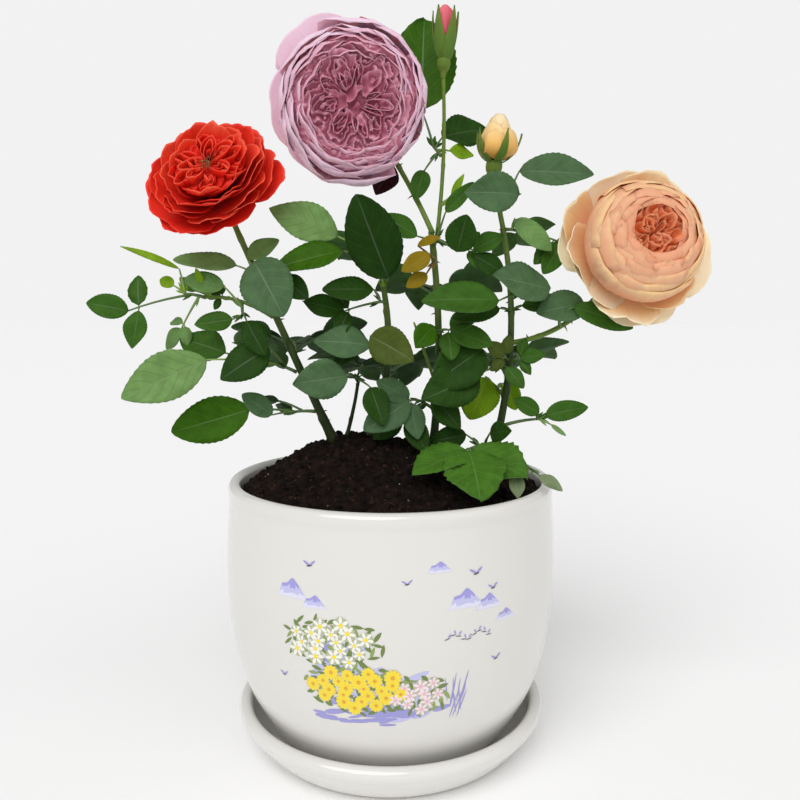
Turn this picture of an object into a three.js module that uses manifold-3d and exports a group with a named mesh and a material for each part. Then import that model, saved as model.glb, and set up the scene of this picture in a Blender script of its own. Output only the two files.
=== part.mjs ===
// A rose bush growing in a glazed ceramic pot that stands in its saucer: four canes with their
// side stalks, masses of compound leaves, three full blooms and two buds.
// Millimetres, +Z up, -Y is the front. The origin is the centre of the saucer's flat underside.
import * as THREE from "three";
import { mergeVertices } from "three/addons/utils/BufferGeometryUtils.js";
import Module from "manifold-3d";

const wasm = await Module();
wasm.setup();

// ---- driving sizes ----
const SEAT_GAP = 0.3; // clearance where one piece rests on another
const SAUCER_FOOT_R = 67;
const SAUCER_RIM_R = 82;
const SAUCER_HEIGHT = 22;
const SAUCER_FLOOR = 6;
const POT_RIM_R = 85;
const POT_BELLY_R = 86.8;
const POT_FOOT_R = 58;
const POT_TOP = 140;
const POT_WALL = 6.5;
const POT_FLOOR = 8;
const ROUND_STEPS = 32; // facets round the pot and saucer
const JOIN_TOLERANCE = 0.05; // slivers smaller than this are smoothed away where pieces join
const SOIL_EDGE_Z = 134; // level of the soil at the pot's wall
const SOIL_MOUND = 25; // how far the soil is heaped above that round the canes
const CANE_SINK = 2; // how far a cane's foot sits below the soil's surface
const CANE_FLARE = 1.1; // how much thicker a cane is at its foot

// ---- colours and finishes ----
const finish = (color, roughness) => new THREE.MeshStandardMaterial({ color, roughness, metalness: 0 });
const GLAZE = finish(0xe9e7e0, 0.15);
const SOIL = finish(0x1c1310, 0.95);
const BARK = finish(0x4f6b2a, 0.6);
const LEAF = finish(0x2f6b24, 0.45);
const SEPAL = finish(0x4a7a2c, 0.55);
const RED_PETAL = finish(0xd3210f, 0.6);
const MAUVE_PETAL = finish(0xc98ba6, 0.6);
const APRICOT_PETAL = finish(0xeca36c, 0.6);
const ROSE_PETAL = finish(0xd9485a, 0.6);
const BUFF_PETAL = finish(0xf0c483, 0.6);

// ---- small tools ----
const vec = (x, y, z) => new THREE.Vector3(x, y, z);
const radians = THREE.MathUtils.degToRad;

// A direction from its heading round the plant (0 right, 90 back, 180 left, -90 front) and its rise.
function towards(heading, rise) {
  const flat = Math.cos(radians(rise));
  return vec(flat * Math.cos(radians(heading)), flat * Math.sin(radians(heading)), Math.sin(radians(rise)));
}

// A repeatable run of numbers from 0 to 1 (mulberry32).
function seeded(seed) {
  let state = seed >>> 0;
  return () => {
    state = (state + 0x6d2b79f5) >>> 0;
    let t = state;
    t = Math.imul(t ^ (t >>> 15), t | 1);
    t = (t ^ (t + Math.imul(t ^ (t >>> 7), t | 61))) >>> 0;
    return ((t ^ (t >>> 14)) >>> 0) / 4294967296;
  };
}

function solidFrom(geometry) {
  const plain = geometry.clone();
  plain.deleteAttribute("normal");
  plain.deleteAttribute("uv");
  const merged = mergeVertices(plain, 1e-4);
  return new wasm.Manifold(
    new wasm.Mesh({
      numProp: 3,
      vertProperties: new Float32Array(merged.attributes.position.array),
      triVerts: new Uint32Array(merged.index.array),
    }),
  );
}

function geometryFrom(solid) {
  const mesh = solid.getMesh();
  const geometry = new THREE.BufferGeometry();
  geometry.setAttribute("position", new THREE.BufferAttribute(new Float32Array(mesh.vertProperties), 3));
  geometry.setIndex(new THREE.BufferAttribute(new Uint32Array(mesh.triVerts), 1));
  geometry.computeVertexNormals();
  return geometry;
}

// Pieces fused into one body: a hollow that the fusing seals is filled and a loose scrap dropped.
function joined(pieces) {
  const bodies = wasm.Manifold.union(pieces).simplify(JOIN_TOLERANCE).decompose();
  return bodies.reduce((largest, body) => (body.volume() > largest.volume() ? body : largest));
}

const bush = new THREE.Group();
const placed = []; // every solid so far, with its bounding box, for the test of clear space

function add(name, solid, material) {
  const mesh = new THREE.Mesh(geometryFrom(solid), material);
  mesh.name = name;
  bush.add(mesh);
  placed.push({ solid, box: solid.boundingBox() });
}

const boxesApart = (a, b, gap) =>
  [0, 1, 2].some((axis) => a.min[axis] > b.max[axis] + gap || b.min[axis] > a.max[axis] + gap);

// True when a solid keeps its distance from everything that is already placed.
function isClear(solid, gap = SEAT_GAP) {
  const box = solid.boundingBox();
  const keepsOff = (other) => boxesApart(box, other.box, gap) || solid.minGap(other.solid, gap * 2) >= gap;
  return placed.every(keepsOff);
}

// Moves every vertex of a geometry to where place(point) says.
function shaped(geometry, place) {
  const position = geometry.attributes.position;
  const point = new THREE.Vector3();
  for (let i = 0; i < position.count; i += 1) {
    point.fromBufferAttribute(position, i);
    const moved = place(point);
    position.setXYZ(i, moved.x, moved.y, moved.z);
  }
  return geometry;
}

// ---- saucer and pot: thrown round, glazed white ----
const lathed = (outline, steps = ROUND_STEPS) =>
  new THREE.LatheGeometry(
    outline.map(([r, z]) => new THREE.Vector2(r, z)),
    steps,
  ).rotateX(Math.PI / 2);

function saucerSolid() {
  const lip = 3.5; // half the thickness of the rolled rim
  const rimMid = SAUCER_RIM_R - lip;
  const outline = [
    [0, 0],
    [SAUCER_FOOT_R, 0],
    [SAUCER_FOOT_R + 4, 2],
    [SAUCER_RIM_R - 4, 11],
    [SAUCER_RIM_R - 0.6, 16],
  ];
  for (let i = 0; i <= 4; i += 1) {
    const turn = (Math.PI * i) / 4;
    outline.push([rimMid + lip * Math.cos(turn), SAUCER_HEIGHT - lip + lip * Math.sin(turn)]);
  }
  outline.push([rimMid - 5.5, 12], [rimMid - 11, SAUCER_FLOOR + 1.5]);
  outline.push([rimMid - 17, SAUCER_FLOOR], [0, SAUCER_FLOOR]);
  return solidFrom(lathed(outline));
}

// The pot's outer outline as [radius, height above the table], from foot to rim.
const POT_SIDE = [
  [POT_FOOT_R, SAUCER_FLOOR + SEAT_GAP],
  [POT_FOOT_R + 4, 8],
  [66, 13],
  [71, 21],
  [76.5, 32],
  [81.7, 48],
  [85.2, 67],
  [POT_BELLY_R, 88],
  [86.4, 109],
  [85.6, 128],
];

function potSolid() {
  const outline = [[0, SAUCER_FLOOR + SEAT_GAP], ...POT_SIDE];
  const lip = POT_WALL / 2;
  for (let i = 0; i <= 4; i += 1) {
    const turn = (Math.PI * i) / 4;
    outline.push([POT_RIM_R - lip + lip * Math.cos(turn), POT_TOP - lip + lip * Math.sin(turn)]);
  }
  const floor = SAUCER_FLOOR + SEAT_GAP + POT_FLOOR;
  outline.push([POT_BELLY_R - POT_WALL, 88], [81.7 - POT_WALL, 50], [66, 28], [52, floor], [0, floor]);
  return solidFrom(lathed(outline));
}

// ---- soil: fills the pot, heaped round the canes, with a rough crumbly top ----
function soilHeight(x, y) {
  const heap = SOIL_MOUND * Math.exp(-((x + 16) ** 2 + (y - 14) ** 2) / (2 * 37 ** 2));
  const knob = 9 * Math.exp(-((x - 66) ** 2 + (y - 14) ** 2) / (2 * 9 ** 2));
  const wander = Math.sin(x * 0.31 + 1.3 * Math.sin(y * 0.23));
  const crumbs = 0.9 * wander * Math.cos(y * 0.27 + Math.sin(x * 0.19));
  const bare = 1 - Math.min(1, Math.hypot(x, y) / 79) ** 8;
  return SOIL_EDGE_Z + (heap + knob + crumbs) * bare;
}

function soilSolid() {
  const inner = POT_WALL + SEAT_GAP;
  const floor = SAUCER_FLOOR + POT_FLOOR + 2 * SEAT_GAP;
  const wall = [
    [0, floor],
    [52 - SEAT_GAP, floor],
    [66 - SEAT_GAP, 28],
    [81.7 - inner, 50],
    [POT_BELLY_R - inner, 88],
    [POT_RIM_R - inner, POT_TOP - POT_WALL / 2 - 4],
  ];
  const rings = 6;
  const edge = POT_RIM_R - inner - 0.5;
  for (let i = 0; i <= rings; i += 1) wall.push([edge * (1 - i / rings), SOIL_EDGE_Z]);
  const body = lathed(wall);
  shaped(body, (p) => (p.z > SOIL_EDGE_Z - 0.1 ? vec(p.x, p.y, soilHeight(p.x, p.y)) : p));
  return solidFrom(body);
}

// ---- canes and stalks: round, tapering, each bent in one bow ----
// A solid tube whose radius runs from foot to tip. One that stands in the soil has a flare at its
// foot, which is cut level.
function tubeSolid(curve, footR, tipR, sides, steps, flare = 0) {
  const frames = curve.computeFrenetFrames(steps, false);
  const tube = shaped(new THREE.CylinderGeometry(1, 1, 1, sides, steps), (p) => {
    const along = p.y + 0.5;
    const i = Math.round(along * steps);
    const radius = footR + (tipR - footR) * along + flare * Math.exp(-along * 14);
    const corner = frames.normals[i].clone().multiplyScalar(p.x * radius);
    corner.addScaledVector(frames.binormals[i], -p.z * radius);
    if (flare && i === 0) corner.addScaledVector(frames.tangents[0], -corner.z / frames.tangents[0].z);
    return corner.add(curve.getPointAt(i / steps));
  });
  return solidFrom(tube);
}

// The curve from foot to tip, pushed out by bow at its middle.
function bowed(foot, tip, bow) {
  const middle = foot.clone().add(tip).multiplyScalar(0.5).addScaledVector(bow, 2);
  return new THREE.QuadraticBezierCurve3(foot, middle, tip);
}

const limbs = {};

function addLimb(name, { foot, tip, bow, footR, tipR, steps = 8, flare = 0 }) {
  const curve = bowed(foot, tip, bow);
  limbs[name] = { curve, radiusAt: (t) => footR + (tipR - footR) * t };
  add(name, tubeSolid(curve, footR, tipR, 7, steps, flare), BARK);
}

// The point where a side stalk or a mass's stem leaves a limb, just clear of its bark.
function leaving(limbName, at, direction, radius) {
  const { curve, radiusAt } = limbs[limbName];
  const tangent = curve.getTangentAt(at);
  const angle = tangent.angleTo(direction);
  if (at === 1) return curve.getPointAt(1).addScaledVector(tangent, SEAT_GAP + radius * Math.sin(angle));
  const across = Math.max(0.4, Math.sin(angle));
  const reach = radiusAt(at) + SEAT_GAP + radius * Math.abs(Math.cos(angle));
  return curve.getPointAt(at).addScaledVector(direction, reach / across);
}

const caneFoot = (x, y) => vec(x, y, soilHeight(x, y) - CANE_SINK);
const CANES = {
  cane_left: { foot: caneFoot(-31, 10), tip: vec(-86, 3, 282), bow: vec(0.5, -6, 0), footR: 2.3, tipR: 1.4 },
  shoot_left: { foot: caneFoot(-25, 13), tip: vec(-18, 9, 188), bow: vec(1, 0, 2), footR: 1.1, tipR: 0.9 },
  cane_mid_left: { foot: caneFoot(-11, 14), tip: vec(-6, -6, 250), bow: vec(7, 1, 0), footR: 2.6, tipR: 1.3 },
  cane_mid: { foot: caneFoot(22, 8), tip: vec(21, 0, 268), bow: vec(4, 0, 0), footR: 2.2, tipR: 1.6 },
  cane_right: { foot: caneFoot(53, 10), tip: vec(52, -4, 293), bow: vec(11, -2, 0), footR: 2.2, tipR: 1.2 },
};

// Side stalks: the limb and place they leave from, and where they end.
const STALKS = {
  shoot_mid: {
    from: ["cane_mid", 0.3, -95, 40], tip: vec(12, -11, 221), bow: vec(0, -2, 0), footR: 1, tipR: 0.5,
  },
  stalk_mauve: {
    from: ["cane_mid", 1, 150, 50], tip: vec(-19, 15, 332), bow: vec(0, 8, 8), footR: 1.4, tipR: 1.2,
  },
  stalk_bud: {
    from: ["cane_mid", 0.95, 20, 50], tip: vec(27, 4, 347), bow: vec(2, 3, 0), footR: 1.1, tipR: 0.9,
  },
  stalk_apricot: {
    from: ["cane_right", 0.46, 10, 15], tip: vec(121, 3, 255), bow: vec(6, 4, -8), footR: 1.4, tipR: 1.2,
  },
  side_left: {
    from: ["cane_left", 0.53, 180, 30], tip: vec(-97, 0, 234), bow: vec(0, 0, 3), footR: 1.1, tipR: 0.8,
  },
};

// ---- leaves: a stalk with a leaflet at its end and pairs of leaflets along it ----
const LEAFLET_WIDTH = 0.62; // of its length, for an ordinary leaflet
const LEAFLET_THICK = 0.014; // of its length, at the midrib
const LEAFLET_LEAST = 0.3; // half the thickness of the smallest leaflets
const FOLD = 0.22; // how far the edges stand above the midrib, of the half width
const DROOP = 0.12; // how far the tip hangs, of the length
const TWIG_R = 0.65;

// The upper side's direction for a leaflet that runs along direction: partly up, partly to the front.
function upperSide(direction, face) {
  const lit = vec(0, -face, 1 - Math.abs(face));
  return lit.addScaledVector(direction, -lit.dot(direction)).normalize();
}

// Rings of a blade past its foot, as [share of its length, share of its half width].
const BLADE_RINGS = [
  [0.3, 0.96],
  [0.7, 0.82],
];

// A four-sided blade that runs from root along way to a pointed tip; with a stalk's start given, the
// stalk runs from there to root in the same solid. Rings turn with the line that they stand on.
function leafletSolid(root, way, upper, length, width, stalkStart) {
  const side = way.clone().cross(upper).normalize();
  const foot = { centre: root, along: way, half: TWIG_R * 0.7, over: TWIG_R * 0.7, fold: 0 };
  const stations = [foot];
  if (stalkStart) {
    const stalkWay = root.clone().sub(stalkStart).normalize();
    stations.unshift({ ...foot, centre: stalkStart, along: stalkWay });
    stations[1] = { ...foot, along: stalkWay.clone().add(way).normalize() };
  }
  for (const [share, wide] of [...BLADE_RINGS, [1, 0]]) {
    const half = 0.5 * width * length * wide;
    const centre = root.clone().addScaledVector(way, length * share);
    centre.addScaledVector(upper, -DROOP * length * share ** 2);
    const over = wide ? Math.max(LEAFLET_LEAST, 0.5 * LEAFLET_THICK * length) : 0;
    stations.push({ centre, along: way, half, over, fold: FOLD * half });
  }
  const steps = stations.length - 1;
  const blade = shaped(new THREE.ConeGeometry(1, 1, 4, steps), (p) => {
    const { centre, along, half, over, fold } = stations[Math.round((p.y + 0.5) * steps)];
    const turn = new THREE.Quaternion().setFromUnitVectors(way, along);
    const ring = Math.hypot(p.x, p.z) || 1;
    const across = p.x / ring;
    return side
      .clone()
      .multiplyScalar(across * half)
      .addScaledVector(upper, (p.z / ring) * over + fold * Math.abs(across))
      .applyQuaternion(turn)
      .add(centre);
  });
  return solidFrom(blade);
}

// One compound leaf that starts at a point: its stalk and end leaflet as one solid, and its side
// leaflets as one solid each.
function leafSolids(start, leaf, random) {
  const stalkWay = towards(leaf.stalk[0], leaf.stalk[1]);
  const bladeWay = towards(leaf.blade[0], leaf.blade[1]);
  const end = start.clone().addScaledVector(stalkWay, leaf.stalk[2]);
  const middleWay = stalkWay.clone().add(bladeWay).normalize();
  const main = leafletSolid(end, bladeWay, upperSide(bladeWay, leaf.face), leaf.blade[2], leaf.width, start);
  const sides = [];
  for (let pair = 0; pair < leaf.pairs; pair += 1) {
    const root = start.clone().lerp(end, 0.84 - 0.4 * pair);
    const upper = upperSide(middleWay, leaf.face);
    const size = leaf.blade[2] * leaf.side * (1 - 0.15 * pair);
    for (const hand of [-1, 1]) {
      const turn = radians(leaf.spread + 16 * (random() - 0.5)) * hand;
      const length = size * (0.9 + 0.2 * random());
      const way = middleWay.clone().applyAxisAngle(upper, turn);
      way.z -= 0.12;
      way.normalize();
      const tilted = upperSide(way, leaf.face + 0.24 * (random() - 0.5));
      sides.push(leafletSolid(root, way, tilted, length, leaf.width));
    }
  }
  return { main, sides };
}

// One leaf of a mass: its place on the mass's stem, its stalk and end leaflet as
// [heading, rise, length], and how it is feathered and turned.
const leaf = (on, stalk, blade, more = {}) => ({
  on,
  stalk,
  blade,
  pairs: 1,
  face: 0.6,
  spread: 62,
  side: 0.75,
  width: LEAFLET_WIDTH,
  ...more,
});

// Leaves by rule: they leave a stem on alternate sides, each shorter than the last.
function alternate(heading, rise, count, length, face) {
  return Array.from({ length: count }, (_, i) => {
    const turned = heading + (i % 2 ? 1 : -1) * (50 - 10 * i);
    const shrink = 1 - 0.09 * i;
    const stalk = [turned, rise + 14 - 6 * i, length * 0.8 * shrink];
    return leaf((i + 1) / count, stalk, [turned, rise - 16, length * shrink], { face, side: 0.85 });
  });
}

// The masses: the limb and place each grows from, its stem as [heading, rise, length], and its leaves.
const MASSES = {
  leaves_low_left: {
    from: ["cane_left", 0.14], stem: [-170, 0, 10], leaves: [
      leaf(1, [-159, 5, 25], [-171, -16, 42], { pairs: 0, face: 0.8, width: 0.56 }),
      leaf(0.9, [-153, -4, 14], [-172, 36, 19], { pairs: 0 }),
      leaf(0.6, [136, 10, 24], [160, -14, 24], { face: -0.3 }),
    ],
  },
  leaves_left: {
    from: ["cane_left", 0.3], stem: [-161, 22, 11], leaves: [
      leaf(1, [-159, 5, 36], [-162, -24, 46], { pairs: 0, face: 0.8, width: 0.55 }),
      leaf(0.95, [-173, 13, 27], [160, 19, 30], { pairs: 0, face: 0.7 }),
      leaf(0.5, [-125, 41, 16], [-157, -29, 29], { pairs: 0, face: 0.8, width: 0.68 }),
      leaf(0.5, [120, 20, 27], [148, -13, 27], { face: -0.4 }),
    ],
  },
  leaves_far_left: {
    from: ["side_left", 1], stem: [-168, 11, 10], leaves: [
      leaf(0.6, [-163, -15, 33], [-168, 12, 21], { face: 0.8, spread: 85, side: 0.95 }),
      leaf(1, [-138, 77, 13], [-176, 26, 32], { pairs: 0, width: 0.13 }),
      leaf(1, [163, 32, 8], [156, 22, 11], { pairs: 0, face: 0.7 }),
      leaf(0.25, [152, -52, 22], [162, -41, 16], { side: 0.8 }),
    ],
  },
  leaves_left_side: {
    from: ["side_left", 0.45], stem: [-75, -49, 8], leaves: [
      leaf(1, [-148, -20, 6], [-164, -9, 19], { pairs: 0, face: 0.7 }),
      leaf(0.7, [-62, -33, 9], [-38, -55, 20], { pairs: 0, face: 0.8 }),
      leaf(0.3, [-165, 50, 14], [176, 8, 22], { pairs: 0, face: 0.7, width: 0.55 }),
    ],
  },
  leaves_left_top: {
    from: ["cane_left", 0.7], stem: [-89, 12, 10], leaves: [
      leaf(1, [-80, 30, 9], [-32, -54, 31], { pairs: 0, face: 0.9, width: 0.85 }),
      leaf(0.3, [-169, 24, 11], [-178, 5, 33], { pairs: 0, face: 0.5, width: 0.42 }),
      leaf(0.7, [135, 47, 10], [8, 36, 19], { pairs: 0, face: 0.6 }),
      leaf(0.5, [-19, -11, 15], [-16, -32, 17], { pairs: 0, face: 0.8, width: 0.72 }),
    ],
  },
  leaves_centre_top: {
    from: ["cane_mid_left", 1], stem: [-157, 37, 9], leaves: [
      leaf(0.8, [175, 31, 18], [-171, 27, 37], { pairs: 0, face: 0.75, width: 0.56 }),
      leaf(0.3, [-162, 14, 17], [-163, -11, 35], { pairs: 0, face: 0.55, width: 0.5 }),
      leaf(0.1, [-50, -42, 12], [-142, 63, 43], { pairs: 0, face: 1, width: 0.64 }),
      leaf(0.6, [107, 17, 28], [115, 0, 29], { face: -0.5 }),
    ],
  },
  leaves_centre_left: {
    from: ["cane_mid_left", 0.8], stem: [-118, 0, 4], leaves: [
      leaf(0.8, [-133, 51, 8], [-169, 0, 26], { pairs: 0, face: 0.55 }),
      leaf(1, [168, -14, 20], [-172, 16, 22], { face: 0.65 }),
    ],
  },
  leaves_centre: {
    from: ["cane_mid_left", 0.56], stem: [-112, 9, 5], leaves: [
      leaf(0.8, [-137, -6, 9], [-168, 10, 29], { pairs: 0, face: 0.65 }),
      leaf(1, [-117, 17, 14], [-30, -22, 26], { pairs: 0, face: 0.9, width: 0.75 }),
      leaf(0.5, [160, -5, 20], [175, -12, 24], { face: 0.3 }),
    ],
  },
  leaves_centre_low: {
    from: ["shoot_left", 1], stem: [-110, 30, 7], leaves: [
      leaf(0.9, [-100, 5, 14], [-160, -6, 28], { pairs: 0, face: 0.9, width: 0.74 }),
      leaf(0.6, [-50, -18, 14], [-60, -50, 22], { pairs: 0, face: 0.8 }),
      leaf(0.5, [150, 20, 14], [160, -8, 24], { pairs: 0, face: 0.5 }),
      leaf(0.3, [80, 30, 16], [70, 5, 26], { face: -0.3 }),
    ],
  },
  leaves_bronze: {
    from: ["cane_mid", 0.84], stem: [-93, 38, 4], leaves: [
      leaf(0.9, [-119, 20, 7], [-147, -30, 18], { pairs: 0, face: 0.8, width: 0.55 }),
      leaf(0.8, [-157, 35, 12], [-28, 22, 13], { pairs: 0, face: 0.6, width: 0.45 }),
      leaf(0.5, [-127, -40, 10], [-152, -33, 13], { pairs: 0, face: 0.8 }),
    ],
  },
  leaves_mid_front: {
    from: ["cane_mid", 0.56], stem: [-99, 15, 6], leaves: [
      leaf(1, [-116, 24, 5], [-138, -37, 16], { pairs: 0, face: 0.9, width: 0.8 }),
      leaf(0.6, [-44, 4, 9], [-16, -20, 23], { face: 0.6, side: 0.8 }),
    ],
  },
  leaves_mid_low: {
    from: ["cane_mid", 0.22], stem: [-150, 30, 9], leaves: [
      leaf(1, [-127, 6, 10], [-160, -34, 28], { face: 0.8, side: 0.8 }),
      leaf(0.8, [-61, 19, 11], [-22, -43, 22], { pairs: 0, face: 0.85 }),
      leaf(0.7, [-143, -38, 13], [-42, -50, 20], { pairs: 0, face: 0.8 }),
      leaf(0.4, [175, -25, 15], [-170, -38, 20], { pairs: 0, face: 0.8 }),
    ],
  },
  leaves_fork: {
    from: ["cane_mid", 0.93], stem: [-71, 36, 4], leaves: [
      leaf(0.2, [-171, 18, 10], [-167, 31, 21], { pairs: 0, face: 0.6 }),
      leaf(1, [-45, 66, 14], [-20, 43, 20], { pairs: 0, face: 0.7, width: 0.4 }),
      leaf(0.9, [-23, -32, 13], [-56, 68, 19], { pairs: 0, face: 0.8, width: 0.85 }),
      leaf(0.5, [-5, -14, 20], [-16, 29, 17], { face: 0.7 }),
    ],
  },
  leaves_top: {
    from: ["stalk_bud", 0.5], stem: [147, 48, 6], leaves: [
      leaf(1, [115, 66, 15], [90, 85, 52], { pairs: 0, face: 1, width: 0.7 }),
      leaf(0.8, [46, 48, 9], [23, 19, 28], { pairs: 0, face: 0.7, width: 0.7 }),
      leaf(0.6, [7, -2, 7], [23, -4, 15], { pairs: 0, face: 0.7 }),
      leaf(0.3, [-155, -51, 13], [-124, -63, 16], { pairs: 0, face: 0.8 }),
    ],
  },
  leaves_right_top: {
    from: ["cane_right", 0.93], stem: [-52, 10, 7], leaves: [
      leaf(0.8, [0, 66, 14], [-9, -3, 37], { pairs: 0, face: 0.7, width: 0.5 }),
      leaf(1, [-56, 0, 7], [-165, 4, 27], { pairs: 0, face: 0.9, width: 0.76 }),
    ],
  },
  leaves_right_upper: {
    from: ["cane_right", 0.84], stem: [-20, -8, 4], leaves: [
      leaf(0.6, [-66, 50, 6], [-13, -41, 24], { pairs: 0, face: 0.8, width: 0.5 }),
      leaf(1, [2, -14, 25], [-151, -57, 19], { face: 0.8, side: 0.9 }),
      leaf(0.4, [72, 3, 28], [54, -8, 27], { face: -0.5 }),
    ],
  },
  leaves_right: {
    from: ["cane_right", 0.62], stem: [-60, 6, 7], leaves: [
      leaf(0.9, [-6, 8, 15], [-159, 11, 32], { pairs: 0, face: 0.6, width: 0.75 }),
      leaf(0.8, [-141, -14, 16], [-162, 4, 39], { pairs: 0, face: 0.6, width: 0.5 }),
      leaf(0.3, [-149, 53, 13], [-173, 32, 19], { pairs: 0, face: 0.7 }),
    ],
  },
  leaves_right_out: {
    from: ["stalk_apricot", 0.35], stem: [-106, 23, 14], leaves: [
      leaf(1, [-26, 27, 11], [-16, -24, 32], { pairs: 0, face: 0.7, width: 0.5 }),
      leaf(0.5, [-22, 32, 15], [-160, -7, 26], { pairs: 0, face: 0.7, width: 0.7 }),
    ],
  },
  leaves_right_low: {
    from: ["cane_right", 0.37], stem: [-161, 14, 5], leaves: [
      leaf(1, [-135, 38, 15], [-153, -25, 33], { pairs: 0, face: 0.75, width: 0.75 }),
      leaf(0.6, [-135, -8, 18], [-153, -23, 33], { pairs: 0, face: 0.8, width: 0.7 }),
      leaf(0.2, [-80, 7, 6], [-37, -45, 14], { pairs: 0, face: 0.8 }),
    ],
  },
  leaves_lime: {
    from: ["cane_right", 0.27], stem: [115, 29, 12], leaves: [
      leaf(1, [-147, 33, 6], [-131, -63, 24], { pairs: 0, face: 0.9, width: 0.9 }),
      leaf(0.6, [35, 19, 7], [-34, -63, 16], { pairs: 0, face: 0.9, width: 0.7 }),
    ],
  },
  leaves_right_twig: {
    from: ["cane_right", 0.17], stem: [-7, 11, 19], leaves: [
      leaf(1, [-17, 30, 4], [-8, 15, 23], { pairs: 0, face: 0.7, width: 0.5 }),
      leaf(0.9, [-56, 66, 4], [-163, 30, 16], { pairs: 0, face: 0.7 }),
      leaf(1, [-18, -23, 7], [-14, -36, 10], { pairs: 0, width: 0.3 }),
    ],
  },
  leaves_front: {
    from: ["cane_right", 0.1], stem: [-125, 4, 25], leaves: [
      leaf(1, [-100, 4, 14], [-83, -20, 38], { face: 0.35, width: 0.78, side: 0.92, spread: 58 }),
      leaf(0.6, [160, 36, 9], [168, -12, 20], { pairs: 0, face: 0.8 }),
      leaf(0.4, [-70, 48, 10], [-60, 10, 15], { pairs: 0, face: 0.8, width: 0.75 }),
    ],
  },
  leaves_rim: {
    from: ["cane_right", 0.075], stem: [-70, -3, 40], leaves: [
      leaf(1, [-75, -8, 9], [-35, -24, 13], { pairs: 0, face: 0.5, width: 0.5 }),
      leaf(0.9, [-125, -6, 14], [-95, -40, 13], { pairs: 0, face: 0.5, width: 0.6 }),
    ],
  },
  leaves_back_left: {
    from: ["cane_left", 0.36], stem: [100, 16, 30], leaves: alternate(100, 10, 4, 31, -0.4),
  },
  leaves_back: {
    from: ["cane_mid_left", 0.36], stem: [92, 10, 34], leaves: alternate(92, 2, 4, 32, -0.4),
  },
  leaves_back_right: {
    from: ["cane_right", 0.34], stem: [98, 18, 32], leaves: alternate(98, 8, 4, 30, -0.4),
  },
  leaves_back_top: {
    from: ["cane_mid", 0.66], stem: [92, 24, 30], leaves: alternate(92, 14, 4, 30, -0.5),
  },
};

// Builds a mass: its stem, and every leaflet that keeps clear of what stands already.
function massSolid({ from: [limbName, at], stem, leaves }, seed) {
  const random = seeded(seed);
  const way = towards(stem[0], stem[1]);
  const start = leaving(limbName, at, way, TWIG_R * 1.5);
  const curve = bowed(start, start.clone().addScaledVector(way, stem[2]), vec(0, 0, stem[2] * 0.04));
  const pieces = [tubeSolid(curve, TWIG_R * 1.5, TWIG_R, 3, 2)];
  for (const one of leaves) {
    const root = curve.getPointAt(Math.min(one.on, 0.97));
    const { main, sides } = leafSolids(root, one, random);
    if (isClear(main)) pieces.push(main, ...sides.filter((side) => isClear(side)));
  }
  return joined(pieces);
}

// ---- blooms: a cup of packed petals with broad guard petals behind it ----
// A frame on a flower's axis: x to its right and y up as it is looked at, z out along the axis.
function flowerFrame(origin, axis) {
  const out = axis.clone().normalize();
  const right = vec(0, 0, 1).cross(out).normalize();
  const up = out.clone().cross(right);
  return new THREE.Matrix4().makeBasis(right, up, out).setPosition(origin);
}

// A petal is a patch round the axis: its middle line runs from the foot out to its reach and lift.
function petalSolid({ turn, reach, lift, width, belly = 0.75, curl = 0.1, thick = 1.1 }) {
  const line = new THREE.QuadraticBezierCurve(
    new THREE.Vector2(3, 1),
    new THREE.Vector2(reach * belly, lift * 0.15),
    new THREE.Vector2(reach, lift),
  );
  const surface = (s, t) => {
    const along = t * (1 - 0.14 * s * s * t);
    const p = line.getPoint(along);
    const half = 0.5 * width * Math.sin(Math.PI * (0.12 + 0.55 * t)) ** 0.7;
    const angle = radians(turn) + (s * half) / Math.max(p.x, 0.4 * half, 4);
    const out = p.x * (1 - curl * s * s * t);
    return vec(out * Math.cos(angle), out * Math.sin(angle), p.y + curl * 0.6 * width * s * s * t * 0.5);
  };
  const step = 0.02;
  return solidFrom(
    shaped(new THREE.BoxGeometry(2, 1, 1, 3, 3, 1), (p) => {
      const t = THREE.MathUtils.clamp(p.y + 0.5, 0, 1);
      const s = p.x;
      const here = surface(s, t);
      const across = surface(s + step, t).sub(surface(s - step, t));
      const onward = surface(s, t + step).sub(surface(s, t - step));
      return here.addScaledVector(across.cross(onward).normalize(), p.z * thick);
    }),
  );
}

// The packed heart: a turned cup whose wall and top are rippled into petal edges.
function heartSolid({ radius, depth, folds, hollow }) {
  const outline = [
    [0, 0],
    [radius * 0.45, depth * 0.04],
    [radius * 0.84, depth * 0.3],
    [radius, depth * 0.66],
    [radius * 0.93, depth * 0.95],
    [radius * 0.74, depth],
    [radius * 0.5, depth * (1 - hollow * 0.5)],
    [radius * 0.24, depth * (1 - hollow)],
    [0, depth * (1 - hollow)],
  ];
  const body = lathed(outline, 18);
  return solidFrom(
    shaped(body, (p) => {
      const r = Math.hypot(p.x, p.y);
      if (r < 1e-6) return p;
      const angle = Math.atan2(p.y, p.x);
      const share = r / radius;
      const ripple = 1 + 0.045 * Math.cos(folds * angle + 5 * share) * share;
      const ridge = 0.05 * depth * Math.sin(folds * angle - 7 * share) * Math.min(1, p.z / depth) * share;
      return vec(p.x * ripple, p.y * ripple, p.z + ridge);
    }),
  );
}

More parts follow.
